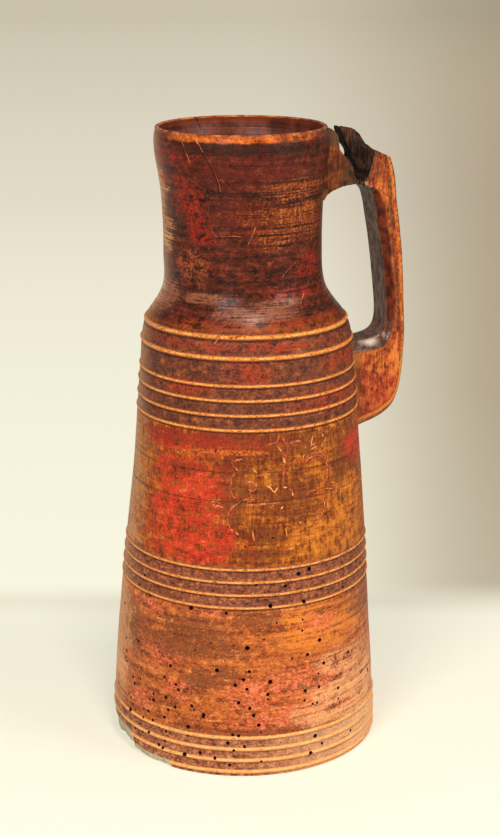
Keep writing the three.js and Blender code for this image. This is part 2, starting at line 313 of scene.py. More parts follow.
class Finish(Builder):
    """A material whose patterns are laid out in millimetres about the vessel's axis."""

    def __init__(self, name):
        self.material = bpy.data.materials.new(name)
        self.material.use_nodes = True
        super().__init__(self.material.node_tree)
        self.tree.nodes.clear()
        spot = self.add("ShaderNodeTexCoord")["Object"]
        start = tuple(Vector((-axis.x, -axis.y, -foot_level)) / mm)
        self.place = self.add("ShaderNodeMapping", {}, {
            "Vector": spot, "Scale": (1 / mm,) * 3, "Location": start})["Vector"]
        parts = self.add("ShaderNodeSeparateXYZ", {}, {"Vector": self.place})
        self.x, self.y, self.z = parts["X"], parts["Y"], parts["Z"]

    def grain(self, across, upright, detail=2.0, rough=0.5, seed=0.0, depth=None):
        """Cloudy noise with cells so many millimetres wide and high, from 0 to 1."""
        sizes = (1 / across, 1 / (depth or across), 1 / upright)
        spot = self.add("ShaderNodeVectorMath", {"operation": "MULTIPLY_ADD"}, {
            0: self.place, 1: sizes, 2: (seed, seed * 1.7, seed * 0.6)})["Vector"]
        return self.add("ShaderNodeTexNoise", {}, {
            "Vector": spot, "Scale": 1.0, "Detail": detail, "Roughness": rough})["Fac"]

    def spots(self, size, reach, seed=0.0, stretch=1.0):
        """Scattered spots, 1 at their middle and 0 between them."""
        spot = self.add("ShaderNodeVectorMath", {"operation": "MULTIPLY_ADD"}, {
            0: self.place, 1: (1 / size, 1 / size, 1 / size / stretch), 2: (seed, seed, seed)})["Vector"]
        cell = self.add("ShaderNodeTexVoronoi", {}, {"Vector": spot, "Scale": 1.0})["Distance"]
        return 1 - self.rise(cell, reach * 0.6, reach)

    def rise(self, value, low, high):
        """0 below low, 1 above high, and smooth between."""
        return self.add("ShaderNodeMapRange", {"interpolation_type": "SMOOTHSTEP"}, {
            "Value": value, "From Min": low, "From Max": high})["Result"]

    def between(self, value, low, high, soft):
        return self.rise(value, low - soft, low + soft) * (1 - self.rise(value, high - soft, high + soft))

    def mix(self, share, first, second):
        """The first colour turning into the second. Each is an output or a colour as seen on screen."""
        first, second = (c if isinstance(c, Socket) else colour(*c) for c in (first, second))
        return self.add("ShaderNodeMix", {"data_type": "RGBA"}, {
            "Factor": share, "A": first, "B": second})["Result"]

    def ramp(self, value, *stops):
        """Colours along a value. Each stop is its place, then the colour as seen on screen."""
        stops = [(place, colour(*seen)) for place, *seen in stops]
        return self.add("ShaderNodeValToRGB", {"stops": stops}, {"Fac": value})["Color"]

    def done(self, tint, rough, bump, depth, **fixed):
        """Finishes the material. Depth is how far the bump reaches, in millimetres."""
        normal = self.add("ShaderNodeBump", {}, {"Strength": 1.0, "Distance": depth * mm,
                                                 "Height": bump})["Normal"]
        inputs = {"Base Color": tint, "Roughness": rough, "Normal": normal}
        inputs.update({name.replace("_", " ").title().replace("Ior", "IOR"): value for name,
                       value in fixed.items()})
        shader = self.add("ShaderNodeBsdfPrincipled", {}, inputs)["BSDF"]
        self.add("ShaderNodeOutputMaterial", {}, {"Surface": shader})
        return self.material


# Round the vessel, angles run in degrees to the right from its front, which lies this far from the handle
front = -112


def on_vessel(angle, z, out=0.0):
    """A point on the bare outside, or so far out from it."""
    turn = math.radians(front + angle)
    radius = bare_radius(z)[0] + out
    return np.array([radius * math.cos(turn), radius * math.sin(turn), z]) + warp(z)


def patch(finish, angle, middle, wide, high, edge):
    """A ragged patch at an angle and a height, so many degrees and millimetres out to its edges."""
    sideways = (finish.angle - angle) / wide
    upwards = (finish.level - middle) / high
    away = (sideways * sideways + upwards * upwards) ** 0.5
    return 1 - finish.rise(away + (edge - 0.5) * 4.5, 0.6, 1.15)


def vessel_finish(name):
    finish = Finish(name)
    turn = math.radians(front)
    ahead = finish.x * math.cos(turn) + finish.y * math.sin(turn)
    aside = finish.x * -math.sin(turn) + finish.y * math.cos(turn)
    # The back has worn in the same way as the front: its patches mirror the front's, but lie higher
    finish.angle = finish.add("ShaderNodeMath", {"operation": "ARCTAN2"},
                              {0: aside, 1: ahead.size()})["Value"] * 57.29578
    finish.level = finish.z - finish.rise(ahead * -1, 2, 16) * 9
    return finish


def patches(finish, spots, edge):
    """Several ragged patches as one, from their angles, heights, half widths and half heights."""
    share = None
    for spot in spots:
        here = patch(finish, *spot, edge)
        share = here if share is None else share.either(here)
    return share


def worn(finish, value, share, soft=0.035):
    """Where a noise is over the level that leaves about this share bare, with a narrow edge."""
    level = 0.5 + (0.5 - share) * 0.3
    return finish.rise(value, level - soft, level + soft)


paint = vessel_finish("painted birch")
z, angle = paint.z, paint.angle
coarse = paint.grain(16, 11, 3, 0.6)
mottle = paint.grain(5.5, 4, 5, 0.7, 3.1)
blotch = paint.grain(3.2, 2.6, 4, 0.7, 6.4)
fine = paint.grain(1.5, 1.1, 3, 0.65, 7.7)
streak = paint.grain(40, 0.8, 3, 0.65, 1.3)
streak_wide = paint.grain(55, 2.4, 2, 0.6, 5.9)
fibre = paint.grain(1.2, 9, 3, 0.6, 9.2)
fibre_wide = paint.grain(2.6, 18, 3, 0.6, 4.4)
specks = paint.grain(1.2, 0.9, 2, 0.5, 12.3)
flecks = paint.grain(1.7, 0.8, 2, 0.5, 15.1)
ragged = mottle * 0.4 + blotch * 0.3 + coarse * 0.3


def laid_on(under, spots, noise, share, soft, strength, tint):
    """A colour over some patches, which a noise leaves on about this share of them."""
    here = patches(paint, spots, ragged) * worn(paint, noise, share, soft)
    return paint.mix(here * strength, under, tint)


# How near a ridge is: 0 on its crest, 1 at its foot; and the same for the groove just under it
nearest = below_ridge = None
for first, step, count, half, _ in ridges:
    outside = ((z - (first + step * (count - 1) / 2)).size() - step * count / 2).either(0) * 100
    crest_way = paint.add("ShaderNodeMath", {"operation": "PINGPONG"}, {0: z - first, 1: step / 2})["Value"]
    groove_way = paint.add("ShaderNodeMath", {"operation": "PINGPONG"},
                           {0: z - first + half * 1.5, 1: step / 2})["Value"]
    here, under = crest_way / half + outside, groove_way / half + outside
    nearest = here if nearest is None else nearest.both(here)
    below_ridge = under if below_ridge is None else below_ridge.both(under)
foot_zone = 1 - paint.rise(z, 22, 26)
crest = 1 - paint.rise(nearest + (fine - 0.5) * 1.7 + (mottle - 0.5) * 1.6 - foot_zone * 0.35, 0.35, 1.1)
# Painted shade and dirt in the groove just under each ridge
shade_and_dirt_under_ridge = 1 - paint.rise(below_ridge + (fine - 0.5) * 1.2, 0.1, 0.75)

neck = paint.rise(z + (ragged - 0.5) * 16, 228, 237)
bands = (paint.between(z + (ragged - 0.5) * 4, 90.5, 113.5, 1)
         .either(paint.between(z + (ragged - 0.5) * 4, 183, 233, 1)))
foot_bands = paint.between(z + (ragged - 0.5) * 3, -5, 21.5, 1)
belly = 1 - paint.rise(z, 90, 94)

# The middle panel: ochre rubbed thin across and along the grain
panel = paint.ramp(mottle * 0.35 + fibre * 0.25 + streak_wide * 0.2 + fine * 0.2, (0.41, 76, 32, 14),
                   (0.455, 118, 54, 18), (0.5, 152, 76, 20), (0.54, 180, 98, 26), (0.6, 212, 132, 46))
golden = [(44, 120, 28, 8), (54, 138, 16, 18), (8, 160, 8, 7), (34, 130, 12, 8)]
panel = laid_on(panel, golden, fibre_wide * 0.5 + mottle * 0.5, 0.5, 0.08, 0.5, (216, 130, 42))
dim = [
    (5, 176, 70, 8), (22, 150, 20, 16), (64, 168, 20, 18), (-22, 120, 6, 5), (52, 158, 8, 8),
    (-6, 152, 9, 26), (4, 120, 20, 4), (8, 131, 10, 8),
]
panel = laid_on(panel, dim, mottle * 0.6 + fibre_wide * 0.2 + fine * 0.2, 0.6, 0.07, 0.75, (88, 40, 24))

# The lower belly: orange under pink and brown, worn through in small flecks
low = paint.ramp(mottle * 0.35 + blotch * 0.2 + fine * 0.2 + streak_wide * 0.25, (0.4, 92, 46, 28),
                 (0.45, 136, 66, 32), (0.5, 172, 86, 38), (0.55, 198, 110, 52), (0.61, 226, 150, 88))
bright = [(34, 75, 24, 10), (56, 72, 22, 11), (30, 85, 16, 5)]
low = laid_on(low, bright, streak_wide * 0.5 + mottle * 0.3 + fine * 0.2, 0.6, 0.07, 0.75, (222, 128, 48))
rosy = [
    (22, 30, 40, 12), (30, 50, 26, 12), (36, 79, 10, 8), (5, 45, 18, 12), (-40, 62, 14, 9),
    (-52, 34, 10, 8), (-50, 86, 16, 5), (-14, 88, 10, 4), (-30, 45, 10, 8),
]
pink = paint.ramp(blotch * 0.6 + fine * 0.4, (0.42, 150, 56, 38), (0.5, 204, 84, 58),
                  (0.58, 232, 128, 94))
low = laid_on(low, rosy, mottle * 0.4 + blotch * 0.3 + fine * 0.3, 0.5, 0.05, 0.75, pink)
muddy = [
    (-22, 79, 22, 10), (-32, 68, 34, 7), (72, 82, 18, 14), (-20, 52, 10, 7), (-62, 70, 14, 18),
    (14, 24, 60, 3), (-12, 70, 14, 9), (2, 86, 16, 5), (-8, 56, 9, 5),
]
low = laid_on(low, muddy, mottle * 0.6 + blotch * 0.4, 0.6, 0.08, 0.75, (100, 54, 36))
# Pale patches low on the right: paler wood, partly painted light bounced from the floor; the one at the far
# left is painted sheen
pale = [(56, 34, 34, 20), (50, 54, 20, 9), (-74, 44, 14, 9)]
low = laid_on(low, pale, streak_wide * 0.5 + mottle * 0.3 + fine * 0.2, 0.66, 0.08, 0.66, (246, 180, 124))
skin = paint.mix(belly, panel, low)

# Red paint, left in the hollows of the wood
red = [
    (-34, 138, 25, 30), (-30, 122, 30, 14), (-12, 126, 9, 13), (-30, 156, 24, 18), (-28, 176, 40, 7),
    (72, 168, 16, 12), (-55, 107, 20, 7), (62, 200, 22, 10),
]
red_paint = paint.ramp(blotch * 0.35 + fine * 0.2 + mottle * 0.3 + coarse * 0.15, (0.4, 92, 32, 22),
                       (0.45, 148, 38, 24), (0.5, 186, 44, 28), (0.55, 206, 58, 38), (0.61, 224, 96, 66))
skin = laid_on(skin, red, fine * 0.15 + blotch * 0.35 + mottle * 0.5, 0.62, 0.05, 0.9, red_paint)
under_bands = [(-20, 178, 50, 6), (-6, 165, 14, 6), (-30, 163, 14, 4)]
skin = laid_on(skin, under_bands, mottle * 0.6 + blotch * 0.4, 0.6, 0.08, 0.6, (104, 42, 26))
strip = patches(paint, [(-8, 172.6, 22, 1.6)], ragged * 0.4 + 0.3)
skin = paint.mix(strip * worn(paint, fine, 0.6, 0.08) * 0.65, skin, (206, 112, 42))
# Painted sheen: tan patches at the far left of the belly, where light glances off the paint
left_sheen_patches = [(-86, 150, 27, 46), (-86, 60, 24, 50), (-74, 118, 16, 8)]
sheen_tone = paint.mix(paint.rise(z, 60, 150), (212, 152, 102), (192, 138, 92))
skin = laid_on(skin, left_sheen_patches, mottle * 0.7 + streak * 0.3, 0.8, 0.1, 0.75, sheen_tone)

# Between the ridges the old paint is dark, with a little red left in it
band_tone = paint.ramp(blotch * 0.35 + fine * 0.25 + mottle * 0.4, (0.42, 68, 34, 26), (0.47, 92, 48, 36),
                       (0.52, 112, 58, 38), (0.57, 136, 72, 42), (0.63, 172, 98, 54))
band_red = [
    (0, 213, 14, 7), (62, 214, 24, 8), (50, 195, 30, 8), (-30, 205, 20, 5), (0, 226, 60, 3),
    (-45, 107, 20, 7), (-40, 96, 14, 4),
]
band_tone = laid_on(band_tone, band_red, fine * 0.5 + mottle * 0.5, 0.5, 0.05, 0.8, (164, 54, 26))
low_band = paint.ramp(blotch * 0.45 + fine * 0.35 + mottle * 0.2, (0.41, 78, 42, 30),
                      (0.465, 116, 62, 44), (0.52, 142, 80, 54), (0.57, 172, 100, 60),
                      (0.63, 208, 134, 82))
band_tone = paint.mix((1 - paint.rise(z, 116, 120)) * 0.85, band_tone, low_band)
# Painted sheen down the far left side, which pales the bands and the neck there
left_sheen = 1 - paint.rise(angle + (mottle - 0.5) * 20, -84, -58)
band_tone = paint.mix(left_sheen * 0.5, band_tone, (206, 148, 96))
foot_tone = paint.ramp(blotch * 0.35 + fine * 0.3 + mottle * 0.35, (0.41, 84, 44, 30),
                       (0.46, 124, 68, 46), (0.5, 154, 90, 62), (0.55, 180, 114, 80),
                       (0.61, 212, 148, 108))
# The foot bands grow paler towards the right: pale wood, partly painted light bounced from the floor
foot_tone = paint.mix(paint.rise(angle, -10, 70) * 0.7, foot_tone, (246, 190, 142))
skin = paint.mix(bands, skin, band_tone)
skin = paint.mix(foot_bands, skin, foot_tone)

# The neck: dark varnish, with red left at the left and bare wood rubbed at the right
neck_tone = paint.ramp(streak_wide * 0.25 + mottle * 0.35 + blotch * 0.25 + fine * 0.15,
                       (0.41, 30, 12, 9), (0.46, 54, 20, 13), (0.51, 78, 28, 17), (0.56, 104, 40, 22),
                       (0.62, 140, 66, 36))
bare = patches(paint, [(42, 302, 30, 7), (30, 291, 40, 7), (24, 279, 18, 7), (44, 284, 26, 9)], ragged)
lines = worn(paint, streak * 0.45 + streak_wide * 0.2 + blotch * 0.15 + fine * 0.2, 0.5, 0.03)
ochre = paint.ramp(fine * 0.5 + fibre * 0.5, (0.43, 92, 36, 13), (0.5, 134, 60, 20), (0.58, 178, 96, 38))
neck_tone = paint.mix(bare * lines * 0.85, neck_tone, ochre)
# Painted sheen at the far left of the neck: a pale wash and paler streaks over it
left_sheen_streaks = patches(paint, [(-74, 280, 16, 10), (-80, 296, 14, 20), (-82, 246, 12, 10), (-70, 300, 10, 3),
                         (-68, 270, 8, 3)], ragged)
neck_tone = paint.mix(left_sheen * 0.55, neck_tone, (190, 126, 80))
neck_tone = paint.mix(left_sheen_streaks * lines * 0.85, neck_tone, (206, 140, 84))
neck_red = [
    (-55, 306, 26, 3), (-40, 296, 14, 10), (-34, 283, 13, 8), (-28, 278, 10, 4), (-46, 265, 12, 4),
    (54, 262, 18, 8), (40, 249, 26, 4), (-60, 317, 30, 4),
]
neck_tone = laid_on(neck_tone, neck_red, fine * 0.4 + mottle * 0.6, 0.5, 0.05, 0.85, (150, 34, 20))
wine = [(-2, 312, 50, 8), (-4, 290, 16, 10)]
neck_tone = laid_on(neck_tone, wine, mottle * 0.6 + fine * 0.4, 0.75, 0.1, 0.6, (92, 27, 18))
# Painted highlights: pale streaks where the glossy shoulder catches the light, and a pale sheen at the far
# left
painted_gloss_streaks = [(8, 240, 30, 4), (22, 245, 20, 2.5), (-30, 247, 16, 3), (-66, 245, 16, 8)]
neck_tone = laid_on(neck_tone, painted_gloss_streaks, streak * 0.45 + mottle * 0.35 + fine * 0.2, 0.6, 0.05, 0.6,
                    (164, 102, 74))
tawny = [(-42, 262, 18, 12)]
neck_tone = laid_on(neck_tone, tawny, mottle * 0.5 + fine * 0.5, 0.45, 0.06, 0.6, (166, 88, 54))
glow = paint.between(z + (ragged - 0.5) * 5, 231, 237.5, 1.2) * (1 - paint.rise((angle - 12).size(), 44, 72))
neck_tone = paint.mix(glow * worn(paint, mottle, 0.6, 0.08) * 0.7, neck_tone, (150, 56, 24))
skin = paint.mix(neck, skin, neck_tone)

# Turning marks, painted shade and dirt in the groove under each ridge, and their bare crests
scored = 1 - paint.rise(streak + (mottle - 0.5) * 0.3, 0.29, 0.38)
skin = paint.mix(scored * 0.5, skin, (46, 22, 13))
for turned_line in (250.5, 162.3, 147.2):
    mark = paint.between(z + (fine - 0.5) * 0.5, turned_line - 0.3, turned_line + 0.3, 0.2)
    skin = paint.mix(mark * worn(paint, coarse, 0.8, 0.1) * 0.6, skin, (44, 22, 14))
skin = paint.mix(paint.rise(specks, 0.6, 0.66) * 0.5, skin, (48, 22, 14))
skin = paint.mix(paint.rise(flecks, 0.6, 0.66) * (0.1 + belly * 0.25 + neck * -0.04), skin, (234, 146, 78))
skin = paint.mix(shade_and_dirt_under_ridge * (0.7 - foot_zone * 0.35), skin, (50, 23, 15))
crest_tone = paint.ramp(fine * 0.45 + mottle * 0.35 + specks * 0.2, (0.4, 128, 62, 28),
                        (0.445, 194, 104, 40), (0.5, 230, 140, 58), (0.57, 248, 180, 104))
crest_tone = paint.mix((1 - paint.rise(z, 24, 130)) * 0.45, crest_tone, (252, 196, 126))
# Painted sheen paling the crests at the far left
crest_tone = paint.mix((1 - paint.rise(angle, -78, -40)) * 0.5, crest_tone, (206, 146, 98))
skin = paint.mix(crest * 0.95, skin, crest_tone)
lip_edge = paint.rise(z + (ragged - 0.5) * 4, 325.4, 326.8)
lip = lip_edge * (1 - paint.rise((angle - 5).size() + (coarse - 0.5) * 60, 40, 75))
lip_tone = paint.ramp(fine * 0.3 + mottle * 0.7, (0.4, 132, 56, 20), (0.46, 168, 76, 24),
                      (0.53, 192, 92, 30), (0.61, 214, 124, 54))
spotted = paint.rise(angle, 18, 34) * paint.rise(blotch * 0.6 + mottle * 0.4, 0.5, 0.54) * 0.8
lip_tone = paint.mix(spotted, lip_tone, (58, 28, 16))
skin = paint.mix(lip * worn(paint, mottle * 0.6 + fine * 0.4, 0.88, 0.06), skin, lip_tone)
rim_edge = paint.rise(z, 328.9, 329.7)
rim_tone = paint.mix(worn(paint, mottle, 0.45, 0.06), (106, 48, 32), (190, 120, 74))
skin = paint.mix(rim_edge * 0.7, skin, rim_tone)
under_lip = paint.between(z + (ragged - 0.5) * 4, 320, 325.4, 0.6) * (1 - paint.rise(angle.size(), 34, 56))
skin = paint.mix(under_lip * worn(paint, mottle, 0.6, 0.05) * 0.75, skin, (38, 24, 18))
pits = paint.spots(2.4, 0.15, 2.0)
skin = paint.mix(pits * 0.8, skin, (36, 18, 12))

shoulder = paint.between(z, 236, 252, 3)
gloss = 0.46 - neck * 0.1 - shoulder * 0.08 + (mottle - 0.5) * 0.4 + (fine - 0.5) * 0.3
polished = paint.rise(mottle * 0.4 + streak * 0.6, 0.42, 0.6)
varnish = (shoulder * 0.4 + lip * 0.3 + neck * 0.06 + crest * 0.15) * polished
surface = streak * 0.35 + fine * 0.5 + blotch * 0.45 + fibre * 0.25 - scored * 0.3 - pits * 0.6
painted = paint.done(skin, gloss, surface, 0.4, specular_ior_level=0.12, coat_weight=varnish,
                     coat_roughness=0.22)

bore = vessel_finish("inside of the vessel")
cloud = bore.grain(9, 30, 3, 0.6, 2.0)
marks = bore.grain(50, 1.1, 2, 0.6, 6.0)
tone = bore.mix(bore.rise(cloud * 0.6 + marks * 0.4, 0.38, 0.62), (74, 32, 24), (124, 60, 42))
patchy = bore.rise(bore.grain(4, 3, 3, 0.6, 9.0), 0.52, 0.58)
tone = bore.mix(patchy * 0.5, tone, (62, 36, 28))
top = bore.rise(bore.z + (cloud - 0.5) * 6, 325, 328)
tone = bore.mix(top * 0.45, tone, (140, 66, 38))
# Darker towards the bottom: painted shade deep inside the vessel
tone = bore.mix((1 - bore.rise(bore.z, 40, 300)) * 0.55, tone, (38, 20, 13))
inside_wall = bore.done(tone, 0.25 + cloud * 0.25, marks * 0.6 + cloud * 0.5, 0.3, specular_ior_level=0.3)

split = vessel_finish("split wood")
fibres = split.grain(1.1, 9, 4, 0.7, 2.5)
stain = split.grain(7, 7, 3, 0.6, 8.5)
tone = split.mix(split.rise(fibres * 0.6 + stain * 0.4, 0.36, 0.64), (160, 146, 120), (206, 196, 168))
raw_wood = split.done(tone, 0.75 + stain * 0.15, fibres, 0.5, specular_ior_level=0.15)

scratch = vessel_finish("scratched bare wood")
fibres = scratch.grain(0.9, 6, 3, 0.6, 1.5)
broken = scratch.grain(3, 3, 3, 0.6, 5.5)
tone = scratch.mix(scratch.rise(broken * 0.6 + fibres * 0.4, 0.46, 0.58), (164, 66, 32), (226, 138, 72))
scratched = scratch.done(tone, 0.6 + fibres * 0.2, fibres, 0.2)

# Near-black inside the beetle holes: painted shade in the narrow bores
worm = vessel_finish("worm hole")
hole_mottle = worm.grain(0.8, 0.8, 3, 0.6, 4.5)
hollow = worm.done(worm.mix(hole_mottle, (14, 7, 5), (48, 26, 16)), 0.85 + hole_mottle * 0.1, hole_mottle, 0.2)

# A darker band along the edges of the knife cuts
border_finish = vessel_finish("grimy edge")
border_mottle = border_finish.grain(1.6, 1.6, 3, 0.6, 3.5)
tone = border_finish.mix(border_finish.rise(border_mottle, 0.42, 0.58), (92, 34, 22), (164, 66, 36))
darkened = border_finish.done(tone, 0.5 + border_mottle * 0.2, border_mottle, 0.2, specular_ior_level=0.12)

fresh = vessel_finish("freshly cut wood")
fibres = fresh.grain(0.9, 4, 3, 0.6, 7.5)
tone = fresh.mix(fresh.rise(fibres, 0.4, 0.6), (222, 140, 66), (246, 190, 116))
gouged = fresh.done(tone, 0.6 + fibres * 0.2, fibres, 0.2, specular_ior_level=0.15)
vessel_materials = [painted, inside_wall, raw_wood, scratched, hollow, darkened, gouged]

vessel = turned("turned_vessel", profile, 180, 0.3, 40.0, painted)
for material in vessel_materials[1:]:
    vessel.data.materials.append(material)


def face_centres(made):
    middles = np.zeros(len(made.data.polygons) * 3)
    made.data.polygons.foreach_get("center", middles)
    return (middles.reshape(-1, 3) - [axis.x, axis.y, foot_level]) / mm


middles = face_centres(vessel)
middles -= warp(middles[:, 2])
inner = (np.hypot(middles[:, 0], middles[:, 1]) < bare_radius(middles[:, 2]) - 1.3) & (middles[:, 2] < 329)
vessel.data.polygons.foreach_set("material_index", inner.astype(int))


# What has split off, been eaten out of or scratched into the vessel
# The foot's left edge has split away along the grain, beetles have bored the lower part, the rim is
# cracked, and someone has cut a star and loops into the front with a knife point.


def cutter(name, points, faces, material_index):
    made = piece(name, points, faces)
    for material in vessel_materials:
        made.data.materials.append(material)
    made.data.polygons.foreach_set("material_index", [material_index] * len(made.data.polygons))
    return made


def between_layers(near, far):
    """Points and faces of a closed block between two grids of points of the same shape."""
    rows, columns = near.shape[:2]
    points = np.concatenate([near.reshape(-1, 3), far.reshape(-1, 3)])
    shift = rows * columns
    faces = []
    for r in range(rows - 1):
        for c in range(columns - 1):
            a = r * columns + c
            b, d, e = a + 1, a + columns, a + columns + 1
            faces += [(a, d, e, b), (a + shift, b + shift, e + shift, d + shift)]
    rim = [(0, c) for c in range(columns)] + [(r, columns - 1) for r in range(1, rows)]
    rim += [(rows - 1, c) for c in range(columns - 2, -1, -1)] + [(r, 0) for r in range(rows - 2, 0, -1)]
    ring = [r * columns + c for r, c in rim]
    for a, b in zip(ring, ring[1:] + ring[:1]):
        faces.append((a, b, b + shift, a + shift))
    return points, faces


# The painted edge's height and the foot's radius under it, by angle
split_edge = [
    (-106, -1, 71.4), (-100, 6, 71), (-94, 11, 70.6), (-86, 12.5, 69.6), (-80, 12, 69.3),
    (-77.5, 11.6, 68.9), (-75.5, 11.4, 67.3), (-71, 11.9, 67), (-65.8, 12.4, 66.9), (-62, 12.3, 66.6),
    (-60.4, 12.2, 67.4), (-58.9, 11.6, 68.7), (-56.6, 9.2, 68.7), (-54.9, 5.3, 68.6), (-52.2, 5.6, 68.9),
    (-46.3, 4.6, 69.8), (-43, 5.1, 70), (-39.6, 5, 69.2), (-35.9, 4.7, 69.4), (-33, 3.9, 70.4),
    (-31.9, 1, 71), (-29, -1, 71.4),
]
angles = np.arange(-106, -28.5, 0.75)
edge_heights, foot_radii = (np.interp(angles, *np.array(split_edge)[:, [0, i]].T) for i in (1, 2))
near, far = [], []
for share in [-0.3, *np.linspace(0, 1, 15)]:
    near.append([])
    far.append([])
    for angle, top_edge, foot in zip(angles, edge_heights, foot_radii):
        rough = noise.noise(Vector((angle * 0.35, share * 5, 0.0)))
        rough += 0.6 * noise.noise(Vector((angle * 1.1, share * 9, 4.0)))
        z = max(top_edge + (share - 1) * (top_edge + 0.5) + (0.35 * rough if share > 0 else -1), -1.5)
        rising = max(share, 0)
        out = 1.2 * rising ** 8 - (71.6 - foot) * (1 - rising) ** 0.9 + 0.35 * rough * (1 - rising)
        near[-1].append(on_vessel(angle, z, out))
        far[-1].append(on_vessel(angle, z, 6))
points, faces = between_layers(np.array(near), np.array(far))
flake = cutter("split_foot_edge", points, faces, 2)


def cut(made, tool, solver="MANIFOLD"):
    """Takes one closed mesh out of another."""
    modifier = made.modifiers.new("cut", "BOOLEAN")
    modifier.operation = "DIFFERENCE"
    modifier.object = tool
    modifier.solver = solver
    plain(made)
    bpy.data.objects.remove(tool)
    return made


def facing_out(made):
    """Turns a closed mesh's faces outwards."""
    work = bmesh.new()
    work.from_mesh(made.data)
    bmesh.ops.remove_doubles(work, verts=work.verts, dist=1e-6)
    bmesh.ops.recalc_face_normals(work, faces=work.faces)
    work.to_mesh(made.data)
    work.free()
    return made


cut(vessel, facing_out(flake))


def groove(path, width, depth, close=1.0):
    """Points and faces of a thin sliver whose keel follows a path of (angle, height) under the outside."""
    path = np.array(path, float)
    run = np.concatenate([[0], np.cumsum(np.hypot(*np.diff(path, axis=0).T))])
    curve = smooth_curve(np.column_stack([run, path]))
    along = np.linspace(0, run[-1], max(5, int(run[-1] / close) + 1))
    keel = np.array([on_vessel(angle, z) for angle, z in curve(along)])
    points, faces = [], []
    for i, point in enumerate(keel):
        ahead = keel[min(i + 1, len(keel) - 1)] - keel[max(i - 1, 0)]
        out = np.array([point[0], point[1], 0]) / math.hypot(point[0], point[1])
        side = np.cross(out, ahead)
        side /= np.linalg.norm(side)
        end = min(i, len(keel) - 1 - i) / (len(keel) - 1) * 2
        swell = min(1, 0.25 + 2.2 * end) * (0.8 + 0.45 * noise.noise(Vector(point) * 0.4))
        base = point + out * relief(np.array([point[2]]))[0]
        lift = out * 0.12
        points += [base + side * width * swell / 2 + lift, base - side * width * swell / 2 + lift,
                   base - out * depth * swell]
    for i in range(len(keel) - 1):
        a = i * 3
        faces += [(a, a + 1, a + 4, a + 3), (a + 1, a + 2, a + 5, a + 4), (a + 2, a, a + 3, a + 5)]
    last = (len(keel) - 1) * 3
    faces += [(0, 2, 1), (last, last + 1, last + 2)]
    return points, faces


def grooves(name, paths, material_index):
    """One cutter from many paths, each with its width and depth."""
    points, faces = [], []
    for path, width, depth in paths:
        more, sides = groove(path, width, depth)
        faces += [tuple(i + len(points) for i in side) for side in sides]
        points += more
    return facing_out(cutter(name, points, faces, material_index))


star = [
    [(8.5, 176.6), (11.7, 177), (14.7, 178.3), (16.4, 182)],
    [(16.6, 181.8), (18.4, 178.4), (20.5, 175.6)], [(20.3, 175.4), (20, 172.7), (18.8, 167.2)],
    [(15, 175.9), (16.9, 172.6), (18.2, 167)], [(20.8, 175.8), (23.6, 177.4), (27.7, 176.8)],
]
loops = [
    [(18.4, 166.2), (17.8, 161.8), (17.5, 157.5), (16.8, 154.1)],
    [(28.1, 162.3), (30, 165.7), (33.4, 167.8), (38, 167.7), (41.6, 165.3), (43.1, 160.1), (42.2, 154.2),
     (39.5, 151.1), (38.2, 149.4)], [(42.4, 153.8), (44.9, 152.2), (48.5, 150.9)],
    [(48.5, 150.6), (47.1, 148.8), (42.5, 149.3), (39.6, 149.7)],
    [(38, 149.4), (34.2, 150.2), (30.4, 150.2)],
    [(37.8, 148.9), (40.1, 145.9), (40.3, 141.5), (39.3, 138.1), (37, 134.3), (33.1, 132.6),
     (31.5, 132.9)],
    [(-5.9, 162.6), (-7.4, 160), (-7.9, 155.7), (-7.7, 152.7), (-6.6, 150.2), (-4.5, 148.8)],
    [(-2.3, 169.5), (-5.1, 169.1), (-7.9, 168.4)], [(-7.9, 168.2), (-6.7, 166), (-4.3, 163.4)],
    [(-17.7, 146.5), (-15.7, 147.2), (-13.7, 146.7)],
    [(-2.7, 148.6), (-4.3, 146.8), (-7, 144.8), (-8.5, 142.3), (-9, 138.4), (-8.1, 134.5), (-6.5, 132.4)],
    [(-2.5, 148.3), (0, 149), (3.5, 148.7)], [(-2, 145.7), (8, 146.5), (16, 146.4)],
    [(-0.8, 155.7), (0, 157.6), (2, 158.2), (3.8, 157.4), (4.4, 155.1)],
    [(0.4, 154), (2.4, 153.1), (4.1, 154.3)], [(18.3, 133.1), (19, 130.4), (19.2, 127.8)],
    [(26.4, 130.2), (26.1, 125.9)], [(54.3, 146.7), (61.7, 147.6), (76, 147)],
    [(-69.6, 159.4), (-63.2, 160), (-60.3, 157.7), (-61.7, 153.7), (-64.3, 152)],
    [(-70.6, 156.9), (-65.7, 157.5), (-63.9, 156.2), (-65.8, 153.4)],
    [(37.6, 169.2), (39.2, 171.4), (43.5, 176.6)],
]
chips = [
    [(32.5, 171.4), (34.8, 172.3), (37.2, 172.7)], [(29.3, 174.6), (30.4, 172.6)],
    [(2.7, 132.9), (3, 130.3), (3.6, 127.3)], [(-17.3, 145.6), (-14.1, 144.9), (-10.1, 144.4)],
    [(-39.6, 171.9), (-37.4, 170.2), (-33.8, 169)], [(-7.8, 133.8), (-6.4, 132.3)],
    [(-5.2, 131.9), (-3.5, 130.4)], [(20.6, 153.6), (21.8, 151.4), (22.2, 148.6)],
    [(32.2, 177.2), (34, 174), (36.6, 175.6)],
    [(18.1, 123.9), (19.3, 122.1), (21.2, 121.6), (22.9, 122.8)],
]
